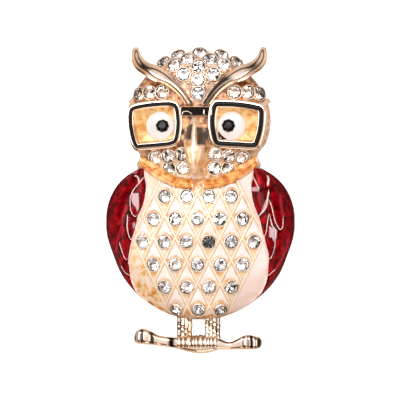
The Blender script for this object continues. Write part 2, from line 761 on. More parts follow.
def enamel_finish(name, dark, light, rough=0.3, metallic=0.0, wave=0.2, size=350.0, spread=0.9,
                  coat=1.5):
    """Glossy enamel whose colour drifts between two shades."""
    material, tree, shader, place = finish_of(name)
    patches = uneven(tree, place, size)
    link(tree, shader, Base_Color=ramp(tree, patches["Mask"], [(1 - spread, dark),
                                                               (spread, light)]))
    constants(shader, Metallic=metallic, Roughness=rough, Specular_IOR_Level=0.0,
              Coat_Weight=1.0, Coat_Roughness=0.03, Coat_IOR=coat)
    bumped(tree, shader, patches["Height"], wave, 0.06)
    return material


def stone_finish():
    """Clear cut glass."""
    material, _, shader, _ = finish_of("clear_stone")
    constants(shader, Base_Color=(1, 1, 1, 1), Roughness=0.0, Transmission_Weight=1.0, IOR=1.55)
    return material


def foil_finish(name, tone):
    """Silvered back of a clear stone, seen through it: each facet has its own shade."""
    material, tree, shader, _ = finish_of(name)
    link(tree, shader, Base_Color=ramp(tree, value_of(tree, "shade"),
                                       [(0.0, (0.02, 0.02, 0.025)), (1.0, tone)], "LINEAR"))
    constants(shader, Metallic=1.0, Roughness=0.03)
    return material


def steel_finish():
    """Plated wire and sheet of the pin: fine drawn lines along X."""
    material, tree, shader, place = finish_of("pin_steel")
    lines = add(tree, "ShaderNodeGroup", {"Vector": place, "Size": 3500.0, "Long": 0.05},
                node_tree=STREAKS).outputs["Height"]
    link(tree, shader, Roughness=ramp(tree, lines, [(0.3, (0.2,) * 3), (0.7, (0.38,) * 3)]))
    constants(shader, Base_Color=(0.66, 0.60, 0.52, 1), Metallic=1.0)
    bumped(tree, shader, lines, 0.2, 0.02)
    return material


polished = gold_finish("polished_gold", rough=0.07, wave=0.06)
worn_gold = gold_finish("worn_gold", rough=0.35, wave=0.1)
beak_gold = beak_finish()
ridge_gold = gold_finish("ridge_gold", rough=0.24, wave=0.35)
chest_gold = chest_finish()
lattice_gold = lattice_finish()
head_gold = head_finish()
red = red_finish()
pale = enamel_finish("pale_enamel", (0.90, 0.78, 0.74), (0.96, 0.91, 0.90), rough=0.25, wave=0.25)
amber = enamel_finish("amber_enamel", (0.60, 0.24, 0.042), (0.80, 0.57, 0.26), rough=0.25,
                      metallic=0.3, wave=0.6, size=800.0)
black = enamel_finish("black_enamel", (0.002, 0.001, 0.001), (0.006, 0.004, 0.004), rough=0.2,
                      wave=0.5, size=500.0, coat=1.28)
collar_amber = enamel_finish("collar_amber", (0.60, 0.16, 0.015), (0.94, 0.52, 0.16), rough=0.4,
                             metallic=0.15, wave=0.8, size=900.0, spread=0.85, coat=1.5)
white = enamel_finish("white_enamel", (0.77, 0.72, 0.72), (0.85, 0.81, 0.82), rough=0.3, wave=0.1)
clear = stone_finish()
foil = foil_finish("stone_foil", (0.97, 0.97, 0.98))
warm_foil = foil_finish("warm_foil", (0.98, 0.90, 0.84))
jet = enamel_finish("jet_stone", (0.002, 0.001, 0.001), (0.006, 0.004, 0.005), rough=0.05,
                    wave=0.0, coat=1.34)
steel = steel_finish()


# Places of the stones, and where each sits on the surface. The middle of a cell of the chest
# lies above its stone by cell_rise.

cell_rise = 0.75
chest_spots = np.array([[(k - (n - 1) / 2) * pitch_x, neck_y - row_drop - r * pitch_y]
                        for r, n in enumerate(ROW_STONES) for k in range(n)])


def head_places(spots, sides=SIDES):
    """Places of the stones of a table on the given sides, with those in the middle once."""
    return [(side * x * head_w / 2, neck_y + y * head_h)
            for x, y in spots for side in (sides if x > 0 else (1,))]


crown_places = head_places(crown_spots)
brow_places = {side: head_places(brow_spots, (side,)) for side in SIDES}
cheek_places = {side: head_places(cheek_spots, (side,)) for side in SIDES}
all_places = [*crown_places, *brow_places[1], *brow_places[-1], *cheek_places[1],
              *cheek_places[-1]]
stone_seats = [(spot_on(height, x, y), seat_normal(height, x, y))
               for height, group in ((body_z, chest_spots), (front_z, all_places))
               for x, y in group]


# Casting: body

# Last share of the body that is rounded; pit below a stone: its depth, its room inside the
# cup, the breadth of its wall and how far from the stone's seat it works
foot_round = 0.035
pit_d = 1.15
pit_in = 0.12
pit_slope = 0.13
pit_reach = 0.9

# Pan of a wing's enamel: its depth, its first and last share across the wing, its foot as a
# share down the body, and the narrowest wing that has one
pan_d = 0.3
pan_from, pan_to = 0.05, 0.995
pan_foot = 0.86
pan_min = 0.6

# Upright edge of the casting: heights as shares of edge_d and how far each lies inwards
body_edge = [[0.75, 0.0], [0.4, 0.0], [0.12, 0.03], [0.0, 0.12]]
head_edge = [[0.0, 0.12], [0.15, 0.03], [0.5, 0.0]]

# Hollow back: where it starts and ends down the body and up the head, and how far it stays
# inside the outline as a share of the wall
body_hollow = (0.06, 0.93)
head_hollow = (0.06, 0.92)
body_margin = 1.3
head_margin = 1.2
hollow_min = 0.3


def pitted(points):
    """Surface with a round pit below every stone: points within the stone's radius of its
    axis go down along that axis, and the cup hides the step."""
    flat = points.reshape(-1, 3)
    moved = flat.copy()
    for spot, normal in stone_seats:
        normal = unit(normal)
        off = flat - spot
        rise = off @ normal
        r = np.linalg.norm(off - rise[:, None] * normal, axis=1)
        deep = pit_d * ease((cup_r - pit_in - r) / pit_slope) * (np.abs(rise) < pit_reach)
        moved -= deep[:, None] * normal
    return moved.reshape(points.shape)


def foot_turn(s):
    """Factor that rounds the foot of the belly down to the upright edge: a quarter ellipse."""
    return np.sqrt(np.clip(1 - (np.clip(s - (1 - foot_round), 0, None) / foot_round) ** 2, 0, 1))


def body_front(s, belly_n, wing_n):
    """Rows of points across the front of the body, from its left edge to its right edge: up
    the upright edge, over the wing and its pan, over the belly and down again."""
    u = np.linspace(-1, 1, belly_n)
    t = np.sin(np.linspace(0, np.pi / 2, wing_n + 1))[1:]
    S, T = np.meshgrid(s, t, indexing="ij")
    pan = pan_d * ease((T - pan_from) / 0.06) * ease((pan_to - T) / 0.02)
    pan *= ease((pan_foot - S) / 0.02) * ease((half_w(S) - half_belly(S) - pan_min) / pan_min)
    wing = xyz(wing_x(S, T), body_y(S), wing_z(S, T) - pan)
    S = s[:, None]
    belly = xyz(u * half_belly(S), body_y(S), belly_z(S, u))
    edge_share, edge_in = np.transpose(body_edge)
    side = xyz(half_w(S) - edge_in, body_y(S), edge_share * edge_d)
    right = np.concatenate([wing, side], 1)
    grid = np.concatenate([right[:, ::-1] * [-1, 1, 1], belly, right], 1)
    turn = foot_turn((neck_y - grid[..., 1]) / body_h)
    above = grid[..., 2] > edge_d
    grid[..., 2] = np.where(above, edge_d + (grid[..., 2] - edge_d) * turn, grid[..., 2])
    return grid


def body_back(front, s):
    """The same rows at the back: flat along the edge and, inside it, the front's height drawn
    in by the margin and sunk by the wall and the enamel."""
    x, y = front[..., 0], front[..., 1]
    S = s[:, None]
    w = half_w(S)
    inner = w - body_margin * wall
    deep = body_z(x * w / np.maximum(inner, 0.5), y) - wall - enamel_t
    start, end = body_hollow
    inside = ease((inner - np.abs(x)) / 0.15) * ease((S - start) / 0.008) * ease((end - S) / 0.008)
    return xyz(x, y, np.where(inside > 0, np.clip(deep, hollow_min, None) * inside, 0))


def collar_low(x):
    """Lower edge of the collar above a place, from the collar's own stations."""
    k = np.clip(np.abs(x) / (collar_w / 2), collar_rows[0][0], collar_rows[-1][0])
    return neck_y + collar_drop * along(collar_rows, COLLAR_LOWER, k)


# Warmth of the wash, from pink-white at 0 to orange at 1, and how much gold the wash covers
warm_tip = 0.05
warm_cell, warm_upper_cell = 0.32, 0.12
warm_beside, warm_left, warm_low_left = 0.04, 0.12, 0.32
warm_foot = warm_collar = 0.62
wash_cell, wash_beside, wash_collar = 0.92, 0.97, 0.9


def chest_masks(x, y):
    """Wash and warmth of the chest: golden beside and below the stones, pink-white at the
    lower tips of the cells, orange on the left flank, at the foot and above the collar."""
    inside, up = cell_share(x, y)
    tip = ease((-up - 0.60) / 0.25)
    high = ease((y - chest_spots[-1][1]) / (chest_spots[0][1] - chest_spots[-1][1]))
    cell = (warm_cell + warm_upper_cell * high) * (1 - tip) + warm_tip
    left = ease((1.0 - x) / 4.0) * (warm_left + warm_low_left * ease((neck_y - 5.0 - y) / 5.0))
    warm = inside * cell + (1 - inside) * (warm_beside + left)
    wash = inside * wash_cell + (1 - inside) * wash_beside
    foot = ease((belly_y + 1.6 - y) / 0.8) * ease(5.0 - np.abs(x))
    warm = np.maximum(warm, warm_foot * foot)
    above = ease((y - collar_low(x) + 0.3) / 0.5)
    return (wash * (1 - above) + wash_collar * above, warm * (1 - above) + warm_collar * above)


def cell_share(x, y):
    """Whether each place is inside a cell, and how far up it lies in it, from -1 to 1: a cell
    is where the shares of the half width and the height sum to less than 1."""
    best = np.full(np.shape(x), 9.0)
    up = np.zeros(np.shape(x))
    for cx, cy in chest_spots:
        dy = (y - cy - cell_rise) / pitch_y
        size = np.abs(x - cx) / (pitch_x / 2) + np.abs(dy)
        up = np.where(size < best, dy, up)
        best = np.minimum(best, size)
    return ease((1.04 - best) / 0.05), up


def finer_to_end(turn, n, end_n, start=0.0):
    """n even shares from the start to the turn, and then end_n up to 1 that draw closer."""
    return np.concatenate([np.linspace(start, turn, n, endpoint=False),
                           turn + (1 - turn) * np.sin(np.linspace(0, np.pi / 2, end_n))])


def build_body():
    """Body of the casting as a closed layer: its front with a pit for every stone, and its
    hollow back. Its rim beside the wings is dark red, where the enamel has run over it."""
    s = finer_to_end(0.96, 172, 14)
    front = body_front(s, belly_n=158, wing_n=22)
    back = body_back(front, s)
    x, y = front[..., 0], front[..., 1]
    wash, warm = chest_masks(x, y)
    rim = half_w(body_s(y)) - np.abs(x)
    stain = ease((0.5 - rim) / 0.2) * ease((y - body_y(wing_foot) + 0.3) / 0.4)
    return sheet_part(pitted(front), back, wash=wash, warm=warm, stain=stain)


cast_piece("body_casting", build_body(), chest_gold, sharp=50)


# Casting: head

# Both sides of the head lie this much further along X than its middle
head_lean = -0.28
forehead_y = 15.0
orange_top = neck_y + 3.4

# Patches of colour on the head: middle, half width and half height
beak_root = (-2.2, 12.9, 0.65, 1.0)
nose_pads = [(-2.62, 11.2, 0.45, 0.42), (1.42, 10.9, 0.45, 0.95)]


def patch(x, y, place, reach):
    """Round patch: full inside, and fading over its border at the given reach."""
    px, py, w, h = place
    return ease((reach - np.hypot((x - px) / w, (y - py) / h)) / 0.5)


def head_back(x, y, k):
    """Back of the head: flat along the edge, and hollow inside it by the wall."""
    inner = head_half(k) - head_margin * wall
    shell = head_d * along(head_rows, HEAD_TOP, k) - head_margin * wall
    deep = 0.2 + (shell - 0.2) * dome(x / np.maximum(inner, 0.3))
    start, end = head_hollow
    inside = ease((inner - np.abs(x)) / 0.15) * ease((k - start) / 0.01) * ease((end - k) / 0.01)
    return xyz(x, y, np.where(inside > 0, np.clip(deep, hollow_min, None) * inside, 0))


def head_colours(x, y, z):
    """Values of the head's finish: amber below the brows and fainter over the forehead, but
    not on the upright edge, brown in the upper corners, orange on the cheeks and at the root
    of the beak, and black where the pads of the spectacles touch."""
    above_edge = ease((z - edge_d - 0.4) / 1.4)
    amber_share = np.maximum(np.maximum(corner_mask(x, y), lower_mask(x, y)),
                             0.7 * (y > forehead_y))
    return {"amber": amber_share * above_edge,
            "brown": 0.30 * corner_mask(x, y) * (y > forehead_y) * above_edge,
            "orange": np.maximum(ease((orange_top - y) / 1.6), patch(x, y, beak_root, 1.25)),
            "dark": np.maximum(*(patch(x, y, pad, 1.3) for pad in nose_pads))}


def build_head():
    """Dome of the head with an upright edge, and the hollow behind it: rows up the head, and
    in each the sine of even angles from side to side."""
    k = finer_to_end(0.9, 126, 30, start=-0.1)[::-1, None]
    across = np.sin(np.linspace(-np.pi / 2, np.pi / 2, 141))
    half, y = head_half(k), neck_y + k * head_h
    top = head_d * along(head_rows, HEAD_TOP, k)
    face = xyz(half * across + head_lean * across ** 2, y, edge_d + (top - edge_d) * dome(across))
    edge_share, edge_in = np.transpose(head_edge)
    left = xyz(edge_in - half, y, edge_share * edge_d)
    right = left[:, ::-1] * [-1, 1, 1]
    lean = [head_lean, 0, 0]
    front = np.concatenate([left + lean, face, right + lean], 1)
    x, y, z = np.moveaxis(front, -1, 0)
    return sheet_part(pitted(front), head_back(x, y, k), **head_colours(x, y, z))


def brow_line(x):
    """Height of the lower edge of the brows above a place, from the brow's own stations."""
    rows = np.asarray(brow_rows)[:brow_on_face]
    edge_x = rows[:, OUTER_X] * tuft_span / 2
    edge_y = tip_y + (rows[:, OUTER_Y] - 1) * brow_rise
    return np.interp(np.abs(x), [0, *edge_x], [edge_y[0], *edge_y])


def corner_mask(x, y):
    """Mottled corner between the brow and the lens."""
    return ease((brow_line(x) + 0.2 - y) / 0.3) * ease((y - lens_y) / 1.5)


def lower_mask(x, y):
    """Face below the brows, down to the cheeks."""
    return 0.85 * ease((brow_line(x) - y) / 0.3)


cast_piece("head_casting", build_head(), head_gold, sharp=50)


# Casting: brows

# Section of a brow from its outer to its inner edge: a thin lip, a groove and a broad swell
brow_section = [[0.00, -1.20], [0.00, -0.62], [0.02, -0.50], [0.055, -0.46], [0.09, -0.52],
                [0.12, -0.66], [0.16, -0.55], [0.24, -0.27], [0.36, -0.06], [0.50, 0.00],
                [0.64, -0.03], [0.77, -0.16], [0.88, -0.40], [0.96, -0.75], [1.00, -1.15]]
brow_tip = 0.93
brow_full = 2.2

# Tarnish of a brow, as shares across it and along it: the fold starts beyond the first and
# ends at the second, and the spot has a middle, a reach and a strength
fold_across, fold_along = 0.30, 0.38
spot_across, spot_along = (0.55, 0.28), (0.60, 0.08)
spot_dark = 0.8


def build_brow(fold):
    """Rings across the brow, whose edges, height and depth follow cubics along it, with a tip
    that is rounded by a quarter ellipse. The inner flank of its root is tarnished by the given
    share, and so is a soft spot before the tip."""
    key = finer_to_end(brow_tip, 84, 16)
    past = np.clip(key - brow_tip, 0, None) / (1 - brow_tip)
    end = np.sqrt(np.clip(1 - past ** 2, 0.0004, 1))
    outer, inner = (np.column_stack([along(brow_rows, x, key) * tuft_span / 2,
                                     tip_y + (along(brow_rows, y, key) - 1) * brow_rise])
                    for x, y in ((OUTER_X, OUTER_Y), (INNER_X, INNER_Y)))
    middle = (outer + inner) / 2
    outer, inner = (middle + (edge - middle) * end[:, None] for edge in (outer, inner))
    width = np.linalg.norm(inner - outer, axis=1)
    top = along(brow_rows, BROW_TOP, key) * head_d - 0.5 * (1 - end)
    swell = np.clip(width / brow_full, 0.12, 1.0)[:, None]
    across, drop = np.transpose(brow_section)
    low = -np.minimum(brow_depth, 0.9 + 2.0 * swell)
    z = top[:, None] + np.concatenate([drop * swell, low, low], 1)
    share = np.concatenate([across, [0.95, 0.05]])
    x, y = np.moveaxis(outer[:, None] + share[:, None] * (inner - outer)[:, None], -1, 0)
    key = key[:, None]
    dark = fold * ease((share - fold_across) / 0.12) * ease((fold_along - key) / 0.08)
    spot = np.exp(-((key - spot_along[0]) / spot_along[1]) ** 2
                  - ((share - spot_across[0]) / spot_across[1]) ** 2)
    return tube_part(xyz(x, y, z), dark=np.maximum(dark, spot_dark * spot))


cast_piece("brows", joined([build_brow(0.9), mirrored(build_brow(0.25))]), polished, sharp=40)


# Casting: beak

beak_side = 0.32
beak_sunk = 1.2
crest_round, crest_sink = 0.03, 0.173
# Dark part of each flank, as shares of the way from the root to the tip
beak_dark = {-1: (0.10, 0.41), 1: (0.15, 0.50)}


def build_beak():
    """Rings across the beak: a roof with a narrow crest and dark flanks at its root, which
    becomes a low round back towards the tip, with upright feet."""
    key = np.concatenate([[0.0], np.linspace(0.01, 0.97, 60), [0.99, 1.0]])[:, None]
    half = along(beak_rows, BEAK_HALF, key) * beak_w / 2
    top = head_d - 0.02 + along(beak_rows, BEAK_TOP, key) * beak_d
    c = np.sin(np.linspace(-np.pi / 2, np.pi / 2, 41))
    roof = 1.2 * (np.sqrt(c * c + crest_round) - crest_sink)
    back = 0.22 * c ** 2 + 0.40 * c ** 8
    soft = ease((key - 0.34) / 0.2)
    z = top - ((1 - soft) * roof + soft * back) * half
    foot = np.full((len(key), 1), head_d - beak_sunk)
    across = np.concatenate([[-1.04], c, [1.04]])
    x = across * half - frame_x - beak_side
    flanks = sum(ease((key - first) / 0.04) * ease((last - key) / 0.05) * (side * across > 0)
                 for side, (first, last) in beak_dark.items())
    dark = flanks * ease((np.abs(across) - 0.22) / 0.12)
    crest = ease((0.22 - np.abs(across + 0.1)) / 0.2) * ease((1.05 - key) / 0.3) * (1 - dark)
    rings = xyz(x, beak_top - key * beak_l, np.concatenate([foot, z, foot], 1))
    return tube_part(rings, dark=0.93 * dark, crest=0.9 * crest)


cast_piece("beak", build_beak(), beak_gold, sharp=50)


# Spectacles

# Outline of each lens, going round from its upper right corner
lens_plan = {
    1: [[10.43, 15.47], [8.69, 15.87], [6.36, 16.17], [3.69, 16.25], [2.86, 16.18],
        [2.41, 15.62], [2.13, 14.50], [2.01, 12.83], [2.19, 11.17], [2.58, 9.67], [3.11, 9.08],
        [4.53, 8.90], [7.03, 8.77], [9.03, 8.67], [9.80, 8.88], [10.26, 10.00],
        [10.69, 11.67], [10.89, 13.67], [10.83, 14.92]],
    -1: [[-3.64, 15.93], [-4.64, 16.20], [-7.14, 16.10], [-9.31, 15.82], [-10.84, 15.43],
         [-11.31, 14.92], [-11.47, 13.17], [-11.21, 11.08], [-10.74, 9.42], [-10.21, 8.58],
         [-9.14, 8.63], [-6.64, 8.82], [-4.47, 9.10], [-3.51, 9.62], [-3.07, 11.33],
         [-2.97, 12.83], [-3.11, 14.50], [-3.31, 15.42]],
}
band_more = 0.09


def lens_outline(side, grow, n=170):
    """Smooth outline of a lens, grown along its normals. The black band is broader on the
    right lens, and narrower on the left one, by band_more."""
    grow = grow - band_more * side * ease((-0.1 - grow) / (band_w - 0.2))
    plan = np.asarray(lens_plan[side])
    line = curve_through(np.vstack([plan, plan[:1]]), n + 1)[:-1]
    line = (np.roll(line, 1, 0) + 2 * line + np.roll(line, -1, 0)) / 4
    run = unit(np.roll(line, -2, 0) - np.roll(line, 2, 0))
    return line + grow * np.column_stack([run[:, 1], -run[:, 0]])


# Sections of the spectacles as (grown by, height above the face) points
rim_section = [[line_w + 0.30, -1.4], [line_w + 0.16, -0.3], [line_w + 0.13, 0.80],
               [line_w + 0.09, 1.08], [line_w, 1.17], [0.0, 1.20], [-0.04, 1.14], [-0.05, 0.90],
               [-0.15, 0.8], [-band_w + 0.12, 0.8], [-band_w + 0.03, 0.92],
               [-band_w + 0.02, 1.10], [-band_w - 0.04, 1.19], [-band_w - line_w * 0.6, 1.17],
               [-band_w - line_w, 1.02], [-band_w - line_w - 0.12, 0.6],
               [-band_w - line_w - 0.34, 0.12], [-band_w - line_w - 0.36, -1.4]]
black_section = [[-0.055, 0.88], [-0.09, 0.97], [-0.18, 1.04], [-band_w / 2, 1.09],
                 [0.16 - band_w, 1.04], [0.06 - band_w, 0.97], [0.025 - band_w, 0.88]]


def at_height(flat, z):
    """Places in the plane as points at a height, or at a height for each."""
    return np.column_stack([flat, np.broadcast_to(z, len(flat))])


def loop_part(outline, section):
    """Closed ring: the outline at each margin of the section, at that height."""
    return tube_part(np.stack([at_height(outline(grow), head_d + z) for grow, z in section], 1),
                     closed=True)


def lens_ring(side, section):
    """Ring of a section round a lens."""
    return loop_part(lambda grow: lens_outline(side, grow), section)


bridge_inset = 0.17
bridge_corner = 0.22


def bridge_outline(grow, n=6):
    """Box between the lenses with round corners, grown by a margin: a quarter circle of n
    points about each corner's centre."""
    half = np.array([bridge_w / 2 - bridge_inset, bridge_h / 2]) - bridge_corner
    r = max(bridge_corner + grow, 0.02)
    a = (np.arange(4)[:, None] * np.pi / 2 + np.linspace(0, np.pi / 2, n)).ravel()
    sx = np.repeat([1, -1, -1, 1], n)
    sy = np.repeat([1, 1, -1, -1], n)
    return np.column_stack([sx * half[0] + r * np.cos(a), sy * half[1] + r * np.sin(a)
                            + bridge_y])


def shifted(p, by):
    """The part moved by a vector."""
    return {"points": p["points"] + by, "faces": p["faces"], "values": dict(p["values"])}


bridge_at = [-frame_x - 0.08, 0, 0]
bridge_section = [[line_w + 0.1, -0.6], [line_w, 0.9], [line_w - 0.05, 1.12],
                  [line_w * 0.5, 1.2], [0.03, 1.12], [0.0, 0.95], [-0.1, 0.8], [-0.2, -0.6]]
bridge_fill_section = [[0.0, 0.92], [-0.04, 1.03], [-0.12, 1.09], [-0.20, 1.12]]
bridge_rim = shifted(loop_part(bridge_outline, bridge_section), bridge_at)
cast_piece("spectacle_rims", joined([*(lens_ring(side, rim_section) for side in SIDES),
                                     bridge_rim]), polished)
for side, label in SIDES.items():
    piece(f"rim_enamel_fill_{label}", lens_ring(side, black_section), black,
          [f"rim_enamel_{label}"], sharp=60)


def build_bridge_fill():
    """Black face of the bridge: rings that shrink to its middle, slightly domed."""
    rings = np.stack([at_height(bridge_outline(grow), head_d + z)
                      for grow, z in bridge_fill_section])
    return tube_part(rings[:, ::-1])


piece("bridge_enamel_fill", shifted(build_bridge_fill(), bridge_at), black,
      ["bridge_enamel"], sharp=60)


# Metal that shows on the bridge, a strip near each end and a low arch between them: places,
# then the width
bridge_strips = [
    ([[-3.0, 14.15], [-3.0, 14.9]], 0.22),
    ([[1.0, 14.15], [1.0, 14.9]], 0.22),
    ([[-2.6, 14.15], [-2.45, 14.5], [-2.0, 14.66], [-1.5, 14.58], [-1.0, 14.2]], 0.13),
]


def build_strip(line, width):
    """Low round strip along a line, on the black face of the bridge."""
    path = at_height(curve_through(line, 20), head_d + bridge_fill_section[-1][1])
    return swept(path, [0, 0, 1], round_profile(width, 0.05, -0.1))


cast_piece("bridge_wear", joined([build_strip(line, width) for line, width in bridge_strips]),
           worn_gold)


arm_r = 0.5


def build_arm():
    """Stub of an arm, a round bar that rises from the edge of the head to the corner of a
    lens."""
    head_side, lens_side = head_w / 2, lens_x + lens_w / 2
    path = np.array([[head_side - 0.55, lens_y + 4.2, 3.4], [head_side - 0.9, lens_y + 4.0, 4.6],
                     [lens_side - 0.5, lens_y + 3.5, 6.6], [lens_side - 1.0, lens_y + 3.1, 8.0]])
    return swept(curve_through(path, 14), [0.3, 0.6, 0.74], arm_r * circle(12))


cast_piece("arm_stubs", joined([build_arm(), mirrored(build_arm())]), polished, sharp=50)


# Eyes

field_margin = 0.12
field_lift = 0.42
field_dish = 0.12


def build_eye_field(side):
    """Amber field of a lens: rings that shrink from the rim to the middle, dished by half a
    wave."""
    outline = lens_outline(side, -(band_w + line_w + field_margin))
    centre = outline.mean(0)
    share = np.linspace(0, 1, 14)[:-1]
    lift = field_lift - field_dish * np.sin(np.pi * np.clip(share * 1.1, 0, 1))
    rings = [at_height(outline * (1 - u) + centre * u, eye_floor + z)
             for u, z in zip(share, lift)]
    return tube_part(np.stack([at_height(outline, eye_floor - 0.1), *rings]))


# Middles of the eyes and of the pupils, which squint a little. A pupil's stone leans up the
# face by its tilt and is turned by an angle.
eye_mid = {1: eye_gap / 2 - frame_x - 0.25, -1: -eye_gap / 2 - frame_x - 0.10}
pupil_mid = {1: eye_mid[1] - pupil_in, -1: eye_mid[-1] + pupil_in - 0.08}
pupil_tilt = {1: 0.05, -1: 0.17}
pupil_turn = 0.3
pupil_grow = 1.06
pupil_lift = 0.04
eye_top = eye_floor + fit + 0.3 + eye_d
eye_drop = 0.40
eye_power = 2.6

for side, label in SIDES.items():
    piece(f"eye_field_{label}", build_eye_field(side), amber,
          [f"eye_enamel_{label}"], sharp=60)


def build_eyeball():
    """White of an eye: a low dome, whose drop is a power of the share of its radius, with a
    rounded rim."""
    r = eye_dia / 2
    radius = np.concatenate([[r, r, r - 0.03], (r - 0.1) * (1 - np.linspace(0, 1, 22))])
    height = eye_top - eye_drop * (radius / r) ** eye_power
    height[:3] = eye_floor, eye_top - 0.62, eye_top - 0.50
    return lathe(np.column_stack([radius, height]), n=64)


def facet_ring(r, share, z, turn, count):
    """Ring of a cut stone of radius r: count points at a share of the radius and at z radii,
    turned by a share of the angle between two of them."""
    a = (np.arange(count) + turn) * 2 * np.pi / count
    return np.column_stack([share * r * np.cos(a), share * r * np.sin(a), np.full(count, z * r)])


def build_cut_disc(dia, lift):
    """Flat-backed black stone of four rings of eight points: a table, two rings of facets
    down to the girdle, an upright side and a flat base."""
    rings = [(0.50, 0.34, 0.5), (0.78, 0.22, 0.0), (1.0, 0.0, 0.5), (1.0, -0.25, 0.5)]
    points = np.concatenate([facet_ring(dia / 2, *ring, 8) for ring in rings]) + [0, 0, lift]
    i = np.arange(8)
    j = (i + 1) % 8
    table, side = i[None, :], np.stack([16 + i, 24 + i, 24 + j, 16 + j], -1)
    crown = [[i, 8 + j, j], [8 + j, i, 16 + i], [8 + j, 16 + i, 16 + j], [8 + j, 16 + j, j]]
    base = (24 + i)[::-1][None, :]
    return part(points, [table, *(np.stack(f, -1) for f in crown), side, base])


for side, label in SIDES.items():
    piece(f"eye_white_{label}", shifted(build_eyeball(), [eye_mid[side], lens_y, 0]), white,
          [f"eyeball_{label}"], sharp=60)
    disc = seated(build_cut_disc(pupil_grow * pupil_dia, pupil_lift),
                  [pupil_mid[side], lens_y, eye_top],
                  np.array([0.0, pupil_tilt[side], 1.0]), pupil_turn)
    piece(f"pupil_stone_{label}", disc, jet, [f"pupil_{label}"], sharp=0)


groove_from, groove_to = 198, 266
groove_w = 0.46


def build_eye_groove(n=30):
    """Black that fills the groove beside the white of the right eye: an arc round the white,
    between two bearings in degrees, that thins to both ends by half a wave."""
    a = np.radians(np.linspace(groove_from, groove_to, n))
    r = eye_dia / 2 + 0.10
    path = at_height(np.column_stack([eye_mid[1] + r * np.cos(a), lens_y + r * np.sin(a)]),
                     eye_floor + 0.40)
    thin = 0.15 + 0.85 * np.sin(np.linspace(0, np.pi, n))
    return swept(path, [0, 0, 1], round_profile(groove_w, 0.14, -0.2), scale=thin)


piece("eye_groove_right", build_eye_groove(), black, ["rim_enamel_right"],
      sharp=60)


# Collar

def collar_floor(x, y):
    """Surface below the collar: the higher of the body, carried on from its edges, and the
    head."""
    b = half_belly(body_s(y))
    return np.maximum(body_z(np.minimum(x, b), np.minimum(y, neck_y)), head_z(x, y))


# Swell across the collar, how deep it goes and its number of columns
collar_swell = 0.25
collar_sunk = 1.1
collar_n = 60

# Upper rim of the collar: the share across it, from its edge inwards, and its lift. The lower
# rim is its mirror image.
collar_rim = [[1.0, -0.25], [0.99, 0.0], [0.97, 0.05], [0.95, 0.03], [0.93, -0.02],
              [0.90, -0.1], [0.6, -0.1]]


def collar_grid(lift, v, end=0.0):
    """Points of a crescent: across it by v, from the lower edge to the upper one, with a swell
    of half a wave, and along it from the middle to the side but for a share at each end."""
    u = end + (1 - 2 * end) * np.linspace(0, 1, collar_n)
    first, last = collar_rows[0][0], collar_rows[-1][0]
    k = first + u * (last - first)
    upper, lower = (along(collar_rows, column, k) for column in (COLLAR_UPPER, COLLAR_LOWER))
    V, K = np.meshgrid(v, k, indexing="ij")
    y = neck_y + collar_drop * (lower + V * (upper - lower))
    x = K * collar_w / 2
    return xyz(x, y, collar_floor(x, y) + lift + collar_swell * np.sin(np.pi * V))


def build_collar():
    """Crescent of gold with a raised rim on both edges, tarnished outside the rims."""
    share, lift = np.transpose(collar_rim)
    v = np.concatenate([share, 1 - share[::-1]])
    top = collar_grid(collar_d - collar_swell, v)
    top[..., 2] += np.concatenate([lift, lift[::-1]])[:, None]
    shade = 0.75 * ease((v - 0.955) / 0.02) + 0.6 * ease((0.045 - v) / 0.02)
    return sheet_part(top, collar_grid(-collar_sunk, v), dark=np.tile(shade[:, None], collar_n))


def build_collar_fill():
    """Enamel between the rims of the collar, with a fine line along its middle."""
    v = np.linspace(0.945, 0.055, 21)
    top = collar_grid(collar_d - collar_swell, v, 0.008)
    line = 0.10 * np.exp(-((v - 0.42) / 0.05) ** 2)
    top[..., 2] += (0.07 - line)[:, None]
    return sheet_part(top, collar_grid(0.0, v, 0.008))


cast_piece("collar", joined([build_collar(), mirrored(build_collar())]), ridge_gold, sharp=50)
for side, label in SIDES.items():
    fill = build_collar_fill()
    piece(f"collar_fill_{label}", fill if side > 0 else mirrored(fill), collar_amber,
          [f"collar_enamel_{label}"], sharp=50)


# Lattice of the chest

def lattice_edges():
    """Edges of all cells, each once, as pairs of end points."""
    found = {}
    for cx, cy in chest_spots:
        my = cy + cell_rise
        corner = [(cx, my + pitch_y), (cx + pitch_x / 2, my), (cx, my - pitch_y),
                  (cx - pitch_x / 2, my)]
        for a, b in zip(corner, corner[1:] + corner[:1]):
            key = tuple(np.round([(a[0] + b[0]) / 2, (a[1] + b[1]) / 2], 3))
            found[key] = (a, b) if a[1] > b[1] else (b, a)
    return list(found.values())


# Half of a ridge's section from its foot to its middle: across, above, and the wall value
ridge_half = [[0.27, -0.3, 1], [0.26, 0.02, 1], [0.21, 0.09, 0.75], [0.16, 0.14, 0.15],
              [0.10, 0.17, 0], [0, 0.18, 0]]


def build_lattice():
    """Flat-topped ridge along every edge of the cells, on the surface of the chest: its wall
    value is 1 at the feet, where the colour gathers, and 0 on top."""
    right = np.array(ridge_half)
    section = np.concatenate([right, right[-2::-1] * [-1, 1, 1]])
    parts = []
    for a, b in lattice_edges():
        share = np.linspace(-0.02, 1.02, 15)[:, None]
        flat = np.asarray(a) + share * (np.asarray(b) - np.asarray(a))
        x, y = flat[:, 0], flat[:, 1]
        on = np.abs(x) < half_belly(body_s(y)) - 0.12
        on &= (y > belly_y + 0.9) & (y < collar_low(x) + 0.4)
        if on.sum() < 3:
            continue
        x, y = x[on], y[on]
        parts.append(swept(xyz(x, y, body_z(x, y)), facing(body_z, x, y), section[:, :2],
                           wall=section[:, 2]))
    return joined(parts)


cast_piece("lattice", build_lattice(), lattice_gold, sharp=80)


